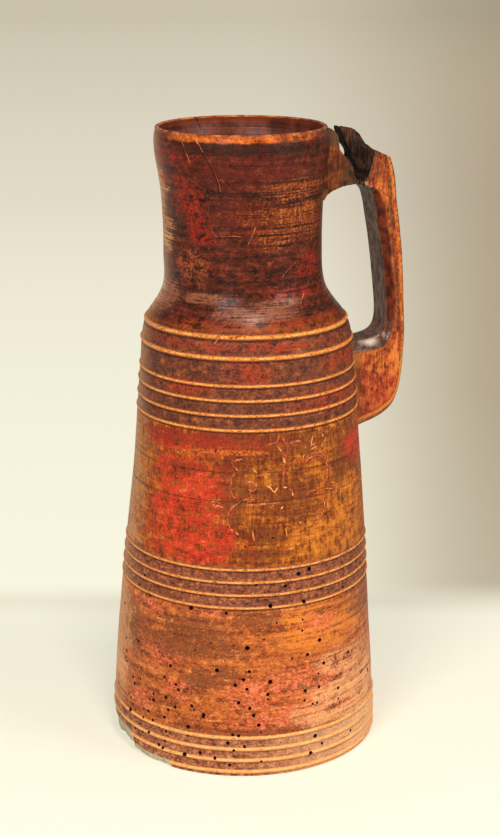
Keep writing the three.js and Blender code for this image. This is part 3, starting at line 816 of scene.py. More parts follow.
gouges = [
    [(17.9, 169.6), (18.5, 166.4)], [(33.3, 173), (33.8, 176), (34.5, 178.8)],
    [(29.2, 169.7), (28.3, 168)], [(41, 178.7), (40.9, 176.7)], [(9, 155.8), (11, 154.6), (12.8, 151.8)],
    [(14.6, 154.3), (12.9, 151.7)], [(17.4, 154.2), (19.4, 153.9)], [(22.1, 151), (22.2, 149)],
    [(16.1, 143), (17.3, 144.4)], [(2.8, 165.1), (3.6, 163.3), (4.8, 162.6)],
    [(19, 122.3), (21.2, 121.7), (22.2, 122.3)], [(24.5, 123.2), (25.3, 124.4)],
    [(-15.4, 145.2), (-12.6, 144.7)], [(-7.4, 133.3), (-6.6, 132.5)], [(-4.7, 131.5), (-3.8, 130.6)],
    [(25.7, 135.2), (26.4, 134.2)], [(31, 132.9), (32, 132.6)], [(45.6, 151.9), (48.2, 151)],
    [(-31.4, 5.8), (-31.6, 3.4), (-31.2, 1)],
]
old_marks = [
    [(-22.6, 282.8), (-19.6, 280), (-16.6, 279.4)], [(-15.6, 279.4), (-6.6, 279.8), (1.4, 279.4)],
    [(10.4, 286.4), (6.4, 279.4), (3.4, 274.4)], [(26.4, 256.4), (33.4, 261.4), (41.4, 265.4)],
    [(39.4, 243.4), (42.4, 245.4), (46.4, 249)], [(-66, 63.4), (-65, 65), (-66.2, 66.6)],
    [(-66.4, 68.4), (-65.2, 70), (-66.4, 71.4)], [(-66.6, 73.4), (-65.4, 74.8), (-66.2, 76.4)],
    [(43.4, 70.4), (51.4, 69.8), (59.4, 70.4)], [(-18, 227), (-15.6, 229.4), (-13.6, 231.6)],
    [(-19.6, 216.6), (-17.4, 219.6)], [(12.8, 228.6), (13, 231.4)],
]
left_crack = [(-43.5, 327.6), (-39.5, 324.4), (-36.9, 320.1), (-35.1, 316.3), (-34.7, 313.3)]
long_crack = [(-32.3, 327.6), (-28.0, 324.7), (-25.6, 321.3), (-22.2, 316.9), (-18.6, 311.8), (-16.0, 306.0),
              (-15.4, 302.0), (-14.2, 298.1), (-13.6, 294)]
back_crack = [(-143.4, 331), (-145.9, 328.4), (-148.1, 324.8), (-149.8, 320), (-150.4, 314)]
beside = [(angle + 0.9, z) for angle, z in long_crack]
cut(vessel, grooves("knife_borders", [(p, 2.7, 0.24) for p in star + loops[:12]], 5))
cut(vessel, grooves("knife_star", [(p, 1.4, 0.5) for p in star], 3))
cut(vessel, grooves("knife_loops", [(p, 1.3, 0.45) for p in loops + chips], 3))
cut(vessel, grooves("knife_gouges", [(p, 1.2, 0.5) for p in gouges], 6))
cut(vessel, grooves("old_marks", [(p, 0.6, 0.25) for p in old_marks], 3))
cut(vessel, grooves("worn_cracks", [(left_crack, 0.55, 0.4), (beside[:3], 0.8, 0.35), (beside[4:7], 0.8, 0.3),
                                    ([(-15.8, 308), (-12.3, 307.7), (-12.9, 305.4)], 0.7, 0.3)], 3))
rim_cracks = [(long_crack, 0.5, 2.2), (left_crack[:3], 0.3, 1.6), (back_crack, 1.5, 6)]
cut(vessel, grooves("rim_cracks", rim_cracks, 4))

# Beetle holes as angle, height and radius
seen_holes = [
    (24.9, 107.8, 1), (30.4, 109.3, 1), (-24.6, 89.8, 1.05), (11.4, 92.6, 1), (27.4, 92.6, 1),
    (1.4, 70.6, 1.1), (35.4, 69.8, 1), (-11.6, 58.1, 1), (11.4, 51.8, 1.05), (-24.1, 25.1, 1.05),
    (-58.6, 22.4, 1.1), (31.9, 17.8, 1.05), (-25.6, 9.2, 1.1), (29.4, 8.7, 1.05), (73.4, 37.8, 1.1),
    (-17.1, 33.2, 0.95), (-17.3, 32.1, 0.8), (4.9, 104.1, 0.7), (18.4, 102.3, 0.75), (-53.6, 99.8, 0.7),
    (-57.6, 93.3, 0.75), (-48.6, 90.8, 0.8), (-8.1, 89, 0.7), (51.4, 93.8, 0.7), (28.9, 63.6, 0.85),
    (2.4, 57.9, 0.8), (-0.1, 53.6, 0.9), (-3.6, 50.5, 0.85), (1.4, 48.4, 0.8), (37.4, 56.6, 0.9),
    (53.4, 57.1, 0.85), (-33.6, 56.4, 0.85), (-72.6, 76.8, 0.9), (-54.6, 62.9, 0.8), (-66.6, 59.6, 0.75),
    (-65.1, 53.1, 0.9), (-65.6, 48.9, 0.75), (-64.1, 47.4, 0.7), (-36.6, 49.4, 0.75), (-30.6, 46.9, 0.7),
    (-29.1, 44.4, 0.75), (10.4, 45.1, 0.85), (27.4, 44.1, 0.85), (34.4, 44.4, 0.8), (-2.1, 41.1, 0.85),
    (-57.6, 41.6, 0.75), (-56.1, 38.4, 0.9), (-35.6, 38.4, 0.85), (-42.6, 37.9, 0.7), (-42.6, 34.4, 0.85),
    (-30.6, 34.4, 0.8), (-34.1, 31.9, 0.8), (-22.6, 37.1, 0.8), (2.6, 37.9, 0.85), (4.2, 34, 0.85),
    (45.4, 40, 0.85), (6.4, 28.6, 0.9), (-45.6, 27.2, 0.8), (-36.1, 27.2, 0.85), (-74.6, 29.9, 0.8),
    (-42.6, 23.2, 0.75), (-4.6, 23.4, 0.8), (-2.1, 22.9, 0.75), (-35.1, 19.4, 0.7), (-6.6, 18.7, 0.85),
    (0.4, 16.8, 0.75), (-44.6, 15.3, 0.85), (-35.6, 13.9, 0.7), (-49.1, 13.8, 0.7), (-4.1, 14.8, 0.8),
    (-18.6, 11.8, 0.8), (-39.1, 10.5, 0.85), (-36.6, 9.7, 0.75), (-12.1, 9.7, 0.75), (7.4, 8.3, 0.7),
    (35.4, 12.5, 0.75), (53.4, 12.3, 0.75), (14.4, 83.3, 0.5), (26.7, 83, 0.55), (26.4, 77.1, 0.55),
    (21.4, 63.1, 0.5), (34.4, 51.8, 0.5), (-21.6, 67.9, 0.5), (-14.6, 72.5, 0.45), (8.7, 74.8, 0.45),
    (-56.6, 63.4, 0.6), (10.4, 42.4, 0.5), (62.4, 46.4, 0.6), (-51.6, 43.1, 0.6), (-45.1, 33.9, 0.6),
    (-21.6, 34.9, 0.5), (26.9, 39, 0.65), (30.9, 36, 0.65), (33.2, 36.1, 0.65), (45.4, 34, 0.6),
    (-28.6, 30.9, 0.45), (-58.6, 29.4, 0.6), (-61.1, 30.4, 0.55), (-56.6, 26.4, 0.6), (-54.6, 23.9, 0.6),
    (-54.6, 20.4, 0.6), (-48.6, 22.4, 0.6), (7.4, 24.6, 0.5), (-39.1, 20.2, 0.55), (-24.1, 20.1, 0.55),
    (-54.6, 13.3, 0.6), (-3.9, 11.2, 0.5), (-5.9, 6.2, 0.7), (61.4, 30.2, 0.65), (60.4, 56.2, 0.5),
    (-15.6, 173.3, 0.45), (12.4, 128.3, 0.45), (-0.6, 124.3, 0.4), (-50.8, 17.6, 0.5), (-71.3, 13.6, 0.7),
]
chance = np.random.default_rng(11)
holes = list(seen_holes)
while len(holes) < len(seen_holes) + 95:
    angle = chance.uniform(84, 274)
    z = 6 + 96 * chance.random() ** 1.7
    radius = chance.choice([0.5, 0.65, 0.8, 1.0])
    near_others = [(abs(angle - a) + abs(z - b)) < 4 for a, b, _ in holes]
    if not any(near_others):
        holes.append((angle, z, radius))

boring, t, given = shape_tree("Boring", {"Sides": "NodeSocketInt", "Depth": "NodeSocketFloat",
                                         "Lean": "NodeSocketFloat", "Seed": "NodeSocketInt",
                                         "Material": "NodeSocketMaterial"})
bit = t.add("GeometryNodeMeshCylinder", {}, {
    "Vertices": given["Sides"], "Radius": 1.0, "Depth": given["Depth"]})["Mesh"]
radius = t.add("GeometryNodeInputNamedAttribute", {"data_type": "FLOAT"}, {"Name": "radius"})["Attribute"]
outward = t.add("GeometryNodeInputNamedAttribute", {"data_type": "FLOAT_VECTOR"}, {
    "Name": "outward"})["Attribute"]
leaning = t.add("FunctionNodeRandomValue", {"data_type": "FLOAT_VECTOR"}, {
    "Min": (-1, -1, -1), "Max": (1, 1, 1), "Seed": given["Seed"]})["Value"]
leaning = t.add("ShaderNodeVectorMath", {"operation": "SCALE"}, {
    0: leaning, "Scale": given["Lean"]})["Vector"]
outward = t.add("ShaderNodeVectorMath", {"operation": "ADD"}, {0: outward, 1: leaning})["Vector"]
facing = t.add("FunctionNodeAlignRotationToVector", {"axis": "Z"}, {"Vector": outward})["Rotation"]
across = t.add("ShaderNodeCombineXYZ", {}, {"X": radius, "Y": radius, "Z": mm})["Vector"]
bored = t.add("GeometryNodeInstanceOnPoints", {}, {
    "Points": given["Geometry"], "Instance": bit, "Rotation": facing, "Scale": across})["Instances"]
bored = t.add("GeometryNodeRealizeInstances", {}, {"Geometry": bored})["Geometry"]
bored = t.add("GeometryNodeSetMaterial", {}, {"Geometry": bored, "Material": given["Material"]})["Geometry"]
t.add("NodeGroupOutput", {}, {"Geometry": bored})

borings = piece("borings", [on_vessel(angle, z) for angle, z, _ in holes])
sizes = borings.data.attributes.new("radius", "FLOAT", "POINT")
sizes.data.foreach_set("value", [radius * 1.15 * mm for _, _, radius in holes])
ways = borings.data.attributes.new("outward", "FLOAT_VECTOR", "POINT")
ways.data.foreach_set("vector", np.array([on_vessel(a, z, 1) - on_vessel(a, z) for a, z, _ in holes]).ravel())
shaped(borings, boring, {"Sides": 11, "Depth": 8.0, "Lean": 0.2, "Seed": 3, "Material": hollow})
borings.data.materials.clear()
for material in vessel_materials:
    borings.data.materials.append(material)
borings.data.polygons.foreach_set("material_index", [4] * len(borings.data.polygons))
cut(vessel, borings)


def block(name, low, high, material_index=4):
    """A block between two corners, to cut a mortise or leave a tenon."""
    corners = [(x, y, z) for x in (low[0], high[0]) for y in (low[1], high[1]) for z in (low[2], high[2])]
    faces = [(0, 1, 3, 2), (4, 6, 7, 5), (0, 4, 5, 1), (2, 3, 7, 6), (0, 2, 6, 4), (1, 5, 7, 3)]
    return facing_out(cutter(name, corners, faces, material_index))


# The handle's two tenons: how wide both are, and where each one's middle is and how high it is
tenon_width, tenon_sizes = 12, [(190, 16), (308, 11)]
for middle, tall in tenon_sizes:
    end = inside_radius(np.array([middle]))[0] - 4
    half_wide, half_tall = tenon_width / 2 + 0.1, tall / 2 + 0.1
    cut(vessel, block("mortise", (end, -half_wide, middle - half_tall), (90, half_wide, middle + half_tall)))

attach(vessel, "root")
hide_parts("vessel_body")


# The handle
# Carved from one piece of birch: a strap with bevelled edges that bends into a thick lower arm, tenoned into
# the belly. At its top is what is left of a fork that once held a lid: one ear, with its broken faces black.

arm_top, arm_low = np.array([43.57, 308]), np.array([58.58, 190])
handle_half, inner_bevel = 11.6, 4
# The strap from the top down: inner point, outer point and the inner edges' bevel, out from each arm's root
strap_upper = [
    ((25, 7.1), (34.6, 2.6), 1), ((23, -1.5), (36.6, -3.5), 1), ((21, -7), (37.6, -8.5), 1),
    ((19.2, -10.8), (38, -12), 1), ((24.2, -14.6), (38.4, -15.6), 3), ((26.2, -20.2), (39, -21), 4),
]
strap_lower = [
    ((19.4, 40), (29.4, 39), 4), ((19.5, 33.4), (29.9, 27), 4), ((18.9, 29.6), (29.7, 16), 4),
    ((16.9, 26.6), (29, 4.8), 5), ((13.7, 24.8), (27, -8), 6), ((9.7, 23.8), (23.9, -14.8), 6),
    ((5.3, 23.3), (16.3, -20.4), 6), ((-1.3, 23.3), (5.7, -24.1), 6), ((-12.3, 23.3), (-12.3, -30), 6),
]
ear_outline = [
    (11.2, 17.7), (19.2, 16.6), (22.8, 14.4), (25.8, 10), (27.5, 7.8), (32.6, 4.2), (32.7, -6),
    (32.7, -16), (29, -18.4), (25.6, -15), (22.1, -6.3), (20, -1.4), (17.4, 1.6), (17.5, 3.7),
    (15.6, 7.6), (13.6, 11.4),
]
stub_outline = [
    (-7.3, -17.7), (-3.9, -17.7), (-2.4, -15.2), (1, -13.1), (6.4, -11.2), (14.3, -10.2), (14.2, -8.4),
    (12.2, -1.6), (10.3, 2.4), (7.1, 5.3), (4.9, 8.5), (4.3, 12.3), (3.2, 15.9), (0.9, 18.6),
    (-1.7, 19.8), (-7.3, 19.8),
]

rows = [(*(arm_top + inner), *(arm_top + outer), bevel) for inner, outer, bevel in strap_upper]
below = [(*(arm_low + inner), *(arm_low + outer), bevel) for inner, outer, bevel in strap_lower]
for share in (0.15, 0.33, 0.5, 0.75):
    row = np.array(rows[5]) * (1 - share) + np.array(below[0]) * share
    row[[0, 2]] += 4 * share * (1 - share)
    rows.append(tuple(row))
rows = np.array(rows + below)
middle_line = (rows[:, 0:2] + rows[:, 2:4]) / 2
run = np.concatenate([[0], np.cumsum(np.hypot(*np.diff(middle_line, axis=0).T))])
strap_run = np.arange(0, run[-1], 1.2)
strap = smooth_curve(np.column_stack([run, rows]))(strap_run)
# The outer edges' bevel widens under the lower arm
outer_bevels = np.interp(strap_run, [0, run[-1] * 0.62, run[-1] * 0.8, run[-1]], [1.4, 1.6, 3.6, 3.9])


def softened(corners, reach, steps=3):
    """A closed outline with each corner rounded, so far along its sides."""
    corners = np.array(corners, float)
    points = []
    for i, corner in enumerate(corners):
        back, ahead = corners[i - 1] - corner, corners[(i + 1) % len(corners)] - corner
        start = corner + back * min(0.4, reach / np.linalg.norm(back))
        end = corner + ahead * min(0.4, reach / np.linalg.norm(ahead))
        for share in np.linspace(0, 1, steps + 1):
            points.append((1 - share) ** 2 * start + 2 * share * (1 - share) * corner + share ** 2 * end)
    return np.array(points)


def strap_bar():
    points, faces = [], []
    for (x0, z0, x1, z1, bevel), outer_bevel in zip(strap, outer_bevels):
        inner, outer = np.array([x0, z0]), np.array([x1, z1])
        wide = np.linalg.norm(outer - inner)
        across = (outer - inner) / wide
        narrow, half = handle_half - min(bevel, inner_bevel), handle_half
        section = [(0, -narrow), (bevel, -half), (wide - outer_bevel, -half), (wide, outer_bevel - half),
                   (wide, half - outer_bevel), (wide - outer_bevel, half), (bevel, half), (0, narrow)]
        for along, y in softened(section, 1.1):
            x, z = inner + across * along
            points.append((x, y, z))
    sides = len(points) // len(strap)
    for ring in range(len(strap) - 1):
        for side in range(sides):
            a, b = ring * sides + side, ring * sides + (side + 1) % sides
            faces.append((a, a + sides, b + sides, b))
    faces += [tuple(range(sides)), tuple(range(len(points) - sides, len(points)))[::-1]]
    return facing_out(piece("strap_bar", points, faces))


def plate(name, outline, low, high):
    """A plate in the handle's plane with so many millimetres from one side of it to the other."""
    count = len(outline)
    points = [(x, y, z) for y in (low, high) for x, z in outline]
    faces = [tuple(range(count)), tuple(range(count, 2 * count))[::-1]]
    faces += [(i, i + count, (i + 1) % count + count, (i + 1) % count) for i in range(count)]
    return facing_out(piece(name, points, faces))


def joined(made, other):
    """Makes one closed mesh of two."""
    modifier = made.modifiers.new("join", "BOOLEAN")
    modifier.operation = "UNION"
    modifier.object = other
    modifier.solver = "MANIFOLD"
    plain(made)
    bpy.data.objects.remove(other)
    return made


def remeshed(made, cell):
    """Even small faces all over, with every edge a little rounded."""
    modifier = made.modifiers.new("even faces", "REMESH")
    modifier.mode = "VOXEL"
    modifier.voxel_size = cell * mm
    return plain(made)


def roughened(made, depth_at):
    """Moves every point along its normal, by what depth_at gives for all the points together."""
    places = spots_of(made)
    normals = np.zeros(len(made.data.vertices) * 3)
    made.data.vertices.foreach_get("normal", normals)
    places = places + normals.reshape(-1, 3) * depth_at(places)[:, None]
    return put(made, places)


def clouds(places, across, upright, seed):
    """Soft noise from -1 to 1 at many points, with cells so many millimetres wide and high."""
    scaled = places / [across, across, upright] + seed
    return np.array([noise.noise(Vector(p)) for p in scaled])


def strap_places(places):
    """Where points lie on the strap: along it, in from its inner face, in from its outer face, its inner and
    outer bevels there, and how far off the strap they are."""
    flat = places[:, [0, 2]]
    wide = np.linalg.norm(strap[:, 2:4] - strap[:, 0:2], axis=1)
    across = (strap[:, 2:4] - strap[:, 0:2]) / wide[:, None]
    steps = flat[:, None, :] - strap[None, :, 0:2]
    deep = (steps * across[None]).sum(2)
    beside = steps[:, :, 1] * across[None, :, 0] - steps[:, :, 0] * across[None, :, 1]
    off = np.abs(beside) + np.clip(-deep - 3, 0, None) + np.clip(deep - wide[None] - 3, 0, None)
    nearest = off.argmin(1)
    beside = beside[np.arange(len(flat)), nearest]
    along = np.clip(strap_run[nearest] - beside, 0, strap_run[-1])
    here = np.column_stack([np.interp(along, strap_run, column) for column in strap.T])
    reach = np.linalg.norm(here[:, 2:4] - here[:, 0:2], axis=1)
    deep = ((flat - here[:, 0:2]) * (here[:, 2:4] - here[:, 0:2])).sum(1) / reach
    bevels = here[:, 4], np.interp(along, strap_run, outer_bevels)
    return along, deep, reach - deep, *bevels, off[np.arange(len(flat)), nearest]


def broken_part(places):
    """1 on the ear and on the split side of the strap's top, 0 on the sound wood."""
    along, deep, _, _, _, off = strap_places(places)
    past_top = (along < 1) & (off > 0.8)
    split_side = (places[:, 2] > 295.2) & (deep < 0.4)
    behind = (places[:, 1] > 3.2) & (places[:, 2] > 309)
    return (past_top | split_side | behind).astype(float)


def near_outline(places, outline):
    """How far points are from a line through corners in the handle's plane."""
    flat = places[:, [0, 2]]
    away = []
    for start, end in zip(outline, outline[1:]):
        start, side = np.array(start), np.array(end) - start
        share = np.clip(((flat - start) @ side) / (side @ side), 0, 1)
        away.append(np.linalg.norm(flat - start - share[:, None] * side, axis=1))
    return np.min(away, axis=0)


def grip_depths(places):
    along, deep, from_outer = strap_places(places)[:3]
    broken = broken_part(places)
    carved = 0.16 * clouds(places, 9, 14, 2.0) + 0.05 * clouds(places, 2.2, 4, 7.0)
    torn = 0.55 * clouds(places, 2.2, 9, 5.0) + 0.2 * clouds(places, 0.9, 4, 9.0)
    pits = np.clip(clouds(places, 1.6, 3.5, 12.0) - 0.25, 0, 1) * 1.1
    worn_line = np.exp(-(((from_outer - 4) / 1.6) ** 2)) * (along > 20)
    return carved * (1 - broken) + torn * broken - pits * worn_line


def skin_cutter(name, gap):
    """The vessel with no hollow, larger by a gap, to scribe what is fitted to it."""
    outline = outside_rows(gap)
    solid = [*outline[2:], (outline[-1][0], 331), (5, 331), (5, outline[2][1])]
    return turned(name, solid, 120, 0, 40.0, painted)


def with_tenon(made, middle, tall):
    end = inside_radius(np.array([float(middle)]))[0] - 1.2
    root = bare_radius(float(middle))[0] + 4
    low, high = (end, -tenon_width / 2, middle - tall / 2), (root, tenon_width / 2, middle + tall / 2)
    joined(made, block("tenon", low, high))
    slot = [(end - 2, middle - 1.5), (end + 7.3, middle - 0.7), (end + 7.3, middle + 0.7),
            (end - 2, middle + 1.5)]
    return cut(made, plate("wedge_slot", slot, -7, 7))


def attribute(made, name, values):
    made.data.attributes.new(name, "FLOAT", "POINT").data.foreach_set("value", np.asarray(values, np.float32))


def clad(made, material, sharp):
    """One material all over, and smooth faces with the edges sharper than so many degrees left sharp."""
    made.data.materials.clear()
    made.data.materials.append(material)
    made.data.polygons.foreach_set("material_index", [0] * len(made.data.polygons))
    made.data.shade_smooth()
    made.data.set_sharp_from_angle(angle=math.radians(sharp))


grip = joined(strap_bar(), plate("ear", [arm_top + p for p in ear_outline], 4, handle_half))
remeshed(grip, 0.55)
roughened(grip, grip_depths)
cut(grip, skin_cutter("skin", 0.12))
with_tenon(grip, *tenon_sizes[0])
grip.name = "handle_with_ear"
places = spots_of(grip)
_, deep, from_outer, bevel, outer_bevel, _ = strap_places(places)
from_side = handle_half - np.abs(places[:, 1])
attribute(grip, "deep", deep)
attribute(grip, "from_outer", from_outer)
attribute(grip, "past_bevel", deep + from_side - bevel)
attribute(grip, "past_outer", from_outer + from_side - outer_bevel)
attribute(grip, "broken", broken_part(places))
broken_edge = [arm_top + p for p in ear_outline[8:] + ear_outline[:1]]
attribute(grip, "from_break", near_outline(places, broken_edge))


class HandleFinish(Finish):
    def measure(self, name):
        """What a point of the handle has under this name, such as how far in it lies."""
        return self.add("ShaderNodeAttribute", {"attribute_name": name})["Fac"]


held = HandleFinish("oiled birch")
deep, from_outer, past_outer = held.measure("deep"), held.measure("from_outer"), held.measure("past_outer")
past_bevel, broken = held.measure("past_bevel"), held.measure("broken")
from_break = held.measure("from_break")
coarse = held.grain(9, 14, 3, 0.6, 1.0)
mottle = held.grain(3.5, 6, 4, 0.65, 4.0)
fine = held.grain(1.1, 1.8, 3, 0.6, 6.0)
fibre = held.grain(1.1, 10, 3, 0.65, 8.0)
ragged = mottle * 0.6 + fine * 0.4

# The strap is dark towards the hand, and the lower arm is redder, and paler at its top
low_arm = 1 - held.rise(held.z + (coarse - 0.5) * 12, 200, 212)
tone = held.ramp(mottle * 0.4 + fibre * 0.2 + coarse * 0.2 + fine * 0.2, (0.42, 74, 28, 14),
                 (0.465, 120, 48, 20), (0.5, 158, 72, 27), (0.54, 188, 98, 36), (0.59, 214, 126, 52))
inward = 1 - held.rise(past_bevel + (ragged - 0.5) * 9, 0.5, 5)
dark_side = held.mix(held.rise(mottle, 0.4, 0.6), (78, 28, 14), (130, 52, 20))
tone = held.mix(inward * (1 - low_arm) * 0.75, tone, dark_side)
low_tone = held.ramp(fine * 0.25 + mottle * 0.45 + coarse * 0.3, (0.4, 92, 36, 22), (0.455, 138, 50, 26),
                     (0.51, 166, 64, 30), (0.57, 190, 88, 40))
tone = held.mix(low_arm, tone, low_tone)
tone = held.mix(low_arm * held.rise(fibre * 0.6 + mottle * 0.4, 0.5, 0.59) * 0.5, tone, (204, 118, 44))
upper_glow = held.between(held.z + (mottle - 0.5) * 12, 196, 208, 3) * low_arm
tone = held.mix(upper_glow * held.rise(fibre * 0.4 + mottle * 0.6, 0.44, 0.56) * 0.6, tone, (216, 128, 46))
# Darker where the lower arm meets the vessel: painted shade between the parts
tone = held.mix(low_arm * (1 - held.rise(held.x + (mottle - 0.5) * 5, 60.5, 64)) * 0.6, tone, (104, 62, 32))
top_mottle = held.between(held.z, 299, 312, 3) * held.rise(coarse * 0.4 + mottle * 0.6, 0.49, 0.55)
tone = held.mix(top_mottle * 0.8, tone, (78, 34, 24))

# The outer edge is rubbed bright, with pits beside it
arris = held.between(from_outer + (ragged - 0.5) * 3.4, 0.9, 3.4, 0.6) * (1 - low_arm)
arris_tone = held.ramp(fine * 0.4 + mottle * 0.6, (0.42, 146, 66, 24), (0.5, 198, 104, 36),
                       (0.58, 228, 142, 58))
tone = held.mix(arris * 0.8, tone, arris_tone)
in_pits = held.rise(mottle * 0.6 + fine * 0.4, 0.495, 0.545)
pitted = held.between(from_outer + (mottle - 0.5) * 3, 3, 6.2, 1.0) * in_pits
tone = held.mix(pitted * 0.85, tone, (46, 22, 13))
cut_edge = 1 - held.rise(past_outer + (fine - 0.5) * 0.8, -0.1, 0.4)
tone = held.mix(cut_edge, tone, held.mix(fine, (66, 26, 14), (118, 52, 26)))
bright_line = held.between(past_outer + (ragged - 0.5) * 1.2, 0.2, 1.9, 0.35) * low_arm
tone = held.mix(bright_line * 0.85, tone, held.mix(fine, (190, 96, 34), (236, 146, 58)))

# The inner bevel is dark, the inner face partly with painted shade where it faces the vessel, and the bevel
# is polished where the strap bends into the arm, greyer there round a painted highlight
in_bevel = 1 - held.rise(past_bevel + (ragged - 0.5) * (low_arm * 3 + 0.8), -0.1, low_arm + 0.7)
tone = held.mix(in_bevel, tone, held.mix(held.rise(mottle, 0.38, 0.62), (60, 24, 14), (108, 42, 20)))
elbow = in_bevel * held.between(held.z, 204, 222, 3)
tone = held.mix(elbow, tone, held.mix(held.rise(mottle, 0.38, 0.62), (62, 38, 30), (112, 76, 58)))
# A painted highlight in the middle of the elbow's bevel
across = (held.x - 67.6 + (mottle - 0.5) * 6) / 6.2
upright = (held.z - 212.4 + (fine - 0.5) * 2) / 3.4
elbow_highlight = 1 - held.rise((across * across + upright * upright) ** 0.5, 0.15, 1.1)
tone = held.mix(elbow * elbow_highlight * 0.85, tone, (222, 208, 194))
# The inner face: dark grey-brown, partly painted shade where it faces the vessel
inner_face = 1 - held.rise(deep + (ragged - 0.5) * 0.5, 0.35, 0.8)
shaded_inner_tone = held.mix(held.rise(mottle * 0.5 + fibre * 0.5, 0.38, 0.62), (62, 44, 38), (116, 88, 76))
tone = held.mix(inner_face, tone, shaded_inner_tone)
rim_line = elbow * held.between(deep + (fine - 0.5) * 0.5, 0.75, 1.3, 0.2)
tone = held.mix(rim_line * 0.6, tone, (150, 70, 42))
edge = held.between(past_bevel + (fine - 0.5) * 0.6, 0.55, 1.2 + low_arm * 1.4, 0.25) * (1 - inner_face)
tone = held.mix(edge * (0.2 + low_arm * 0.6), tone, held.mix(fine, (164, 78, 28), (222, 130, 48)))

# The broken faces are black, with pale splinters left at their foot
black = held.rise(broken + (fine - 0.5) * 0.3, 0.4, 0.6)
torn = held.ramp(fibre * 0.4 + coarse * 0.3 + mottle * 0.3, (0.43, 24, 14, 10), (0.5, 48, 32, 22),
                 (0.58, 84, 56, 38))
ruddy = held.rise(held.z + (coarse - 0.5) * 14, 316, 321) * held.rise(mottle, 0.5, 0.58)
torn = held.mix(ruddy * 0.7, torn, (98, 44, 34))
# Blacker still along the break line: old dark wood, partly painted shade on the edge's face
torn = held.mix((1 - held.rise(from_break + (fine - 0.5) * 1.4, 0.5, 1.3)) * 0.85, torn, (17, 10, 8))
tone = held.mix(black, tone, torn)
lip_line = held.between(past_bevel + (ragged - 0.5) * 2.4, -0.8, -0.05, 0.25)
split_lip = lip_line * held.rise(held.z, 294, 297) * (1 - black)
tone = held.mix(split_lip * 0.65, tone, (176, 104, 60))
across = held.between(held.x + (ragged - 0.5) * 4, 61.5, 68.5, 0.8)
upright = held.between(held.z + (ragged - 0.5) * 3, 292.6, 298.5, 0.7)
splinters = across * upright * held.rise(fibre * 0.6 + fine * 0.4, 0.49, 0.55)
tone = held.mix(splinters * 0.8, tone, (178, 142, 104))
across = held.between(held.x + (fine - 0.5) * 2, 65.6, 68.4, 0.4)
knot = across * held.between(held.z + (fine - 0.5) * 1.6, 293.2, 295.2, 0.35)
tone = held.mix(knot * 0.9, tone, (26, 14, 10))

rough = 0.4 + mottle * 0.2 + fine * 0.12 + black * 0.25
polish = (elbow * 0.4 + (1 - black) * 0.15) * held.rise(mottle, 0.42, 0.56)
carving = fibre * 0.4 + fine * 0.4 + mottle * 0.3 - pitted * 0.6
oiled = held.done(tone, rough, carving, 0.3, specular_ior_level=0.14, coat_weight=polish, coat_roughness=0.25)
clad(grip, oiled, 50)
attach(grip, "root")
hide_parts("handle_grip")


# What is left of the upper arm
# The fork's root, still tenoned into the neck. Its break runs down diagonally, old and blackened, and it
# has sprung a little off the neck below.

def stub_depths(places):
    x, z = places[:, 0] - arm_top[0], places[:, 2] - arm_top[1]
    break_line = np.interp(z, [-11, -2, 2, 5, 12, 17], [13.6, 11.5, 9.6, 6.4, 3.7, 1.2])
    torn = np.clip((x - break_line) / 1.2 + 1, 0, 1)
    soft = 0.12 * clouds(places, 7, 9, 3.0)
    return soft * (1 - torn) + torn * (0.5 * clouds(places, 2.4, 8, 5.0) + 0.2 * clouds(places, 0.9, 3, 8.0))


stub = remeshed(plate("arm_stub", [arm_top + p for p in stub_outline], -handle_half, handle_half), 0.5)
roughened(stub, stub_depths)
cut(stub, skin_cutter("skin", 0.12))
with_tenon(stub, *tenon_sizes[1])
charred = Finish("old broken birch")
fibre = charred.grain(1.0, 9, 3, 0.65, 3.0)
mottle = charred.grain(4, 5, 4, 0.65, 6.0)
fine = charred.grain(1.2, 1.6, 3, 0.6, 9.0)
tone = charred.ramp(mottle * 0.5 + fibre * 0.2 + fine * 0.3, (0.42, 36, 20, 12), (0.49, 62, 36, 20),
                    (0.56, 90, 54, 30))
near_neck = 1 - charred.rise(charred.x + (mottle - 0.5) * 12 - (charred.z - 300) * 0.2, 46, 52)
neck_side = charred.ramp(mottle * 0.6 + fibre * 0.4, (0.4, 64, 28, 14), (0.5, 112, 50, 20),
                         (0.6, 164, 84, 30))
tone = charred.mix(near_neck * 0.8, tone, neck_side)
# Near-black along its underside: painted shade under the stub
shaded_underside = 1 - charred.rise(charred.z - (charred.x - 40).both(16) * 0.42 + (fine - 0.5) * 1.6, 290.6, 292)
tone = charred.mix(shaded_underside * 0.85, tone, (22, 13, 9))
crown = charred.rise(charred.z + (mottle - 0.5) * 6, 316, 321)
tone = charred.mix(crown * 0.7, tone, charred.mix(fine, (44, 36, 24), (104, 84, 56)))
aged = charred.done(tone, 0.45 + mottle * 0.3, fibre * 0.5 + mottle * 0.5, 0.3, specular_ior_level=0.15)
clad(stub, aged, 50)
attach(stub, "root")
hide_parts("handle_upper_stub")


# The wedges in the two tenons
# A riven taper of birch driven into the end of each tenon from inside the vessel, to spread it in its
# mortise. They are rough from the knife and as dark as the wood round them.

board = Finish("plain birch")
fibre = board.grain(14, 0.9, 3, 0.65, 2.0, depth=1.1)
rings = board.grain(26, 30, 2, 0.5, 5.0, depth=3.2)
stain = board.grain(11, 11, 4, 0.65, 7.0)
fine = board.grain(1.3, 1.3, 3, 0.6, 3.0)
tone = board.mix(board.rise(fibre * 0.4 + rings * 0.3 + stain * 0.3, 0.34, 0.66), (70, 46, 28), (134, 98, 62))
tone = board.mix(board.rise(stain, 0.56, 0.7) * 0.6, tone, (44, 28, 18))
plain_wood = board.done(tone, 0.62 + stain * 0.25, fibre * 0.6 + fine * 0.4, 0.3)

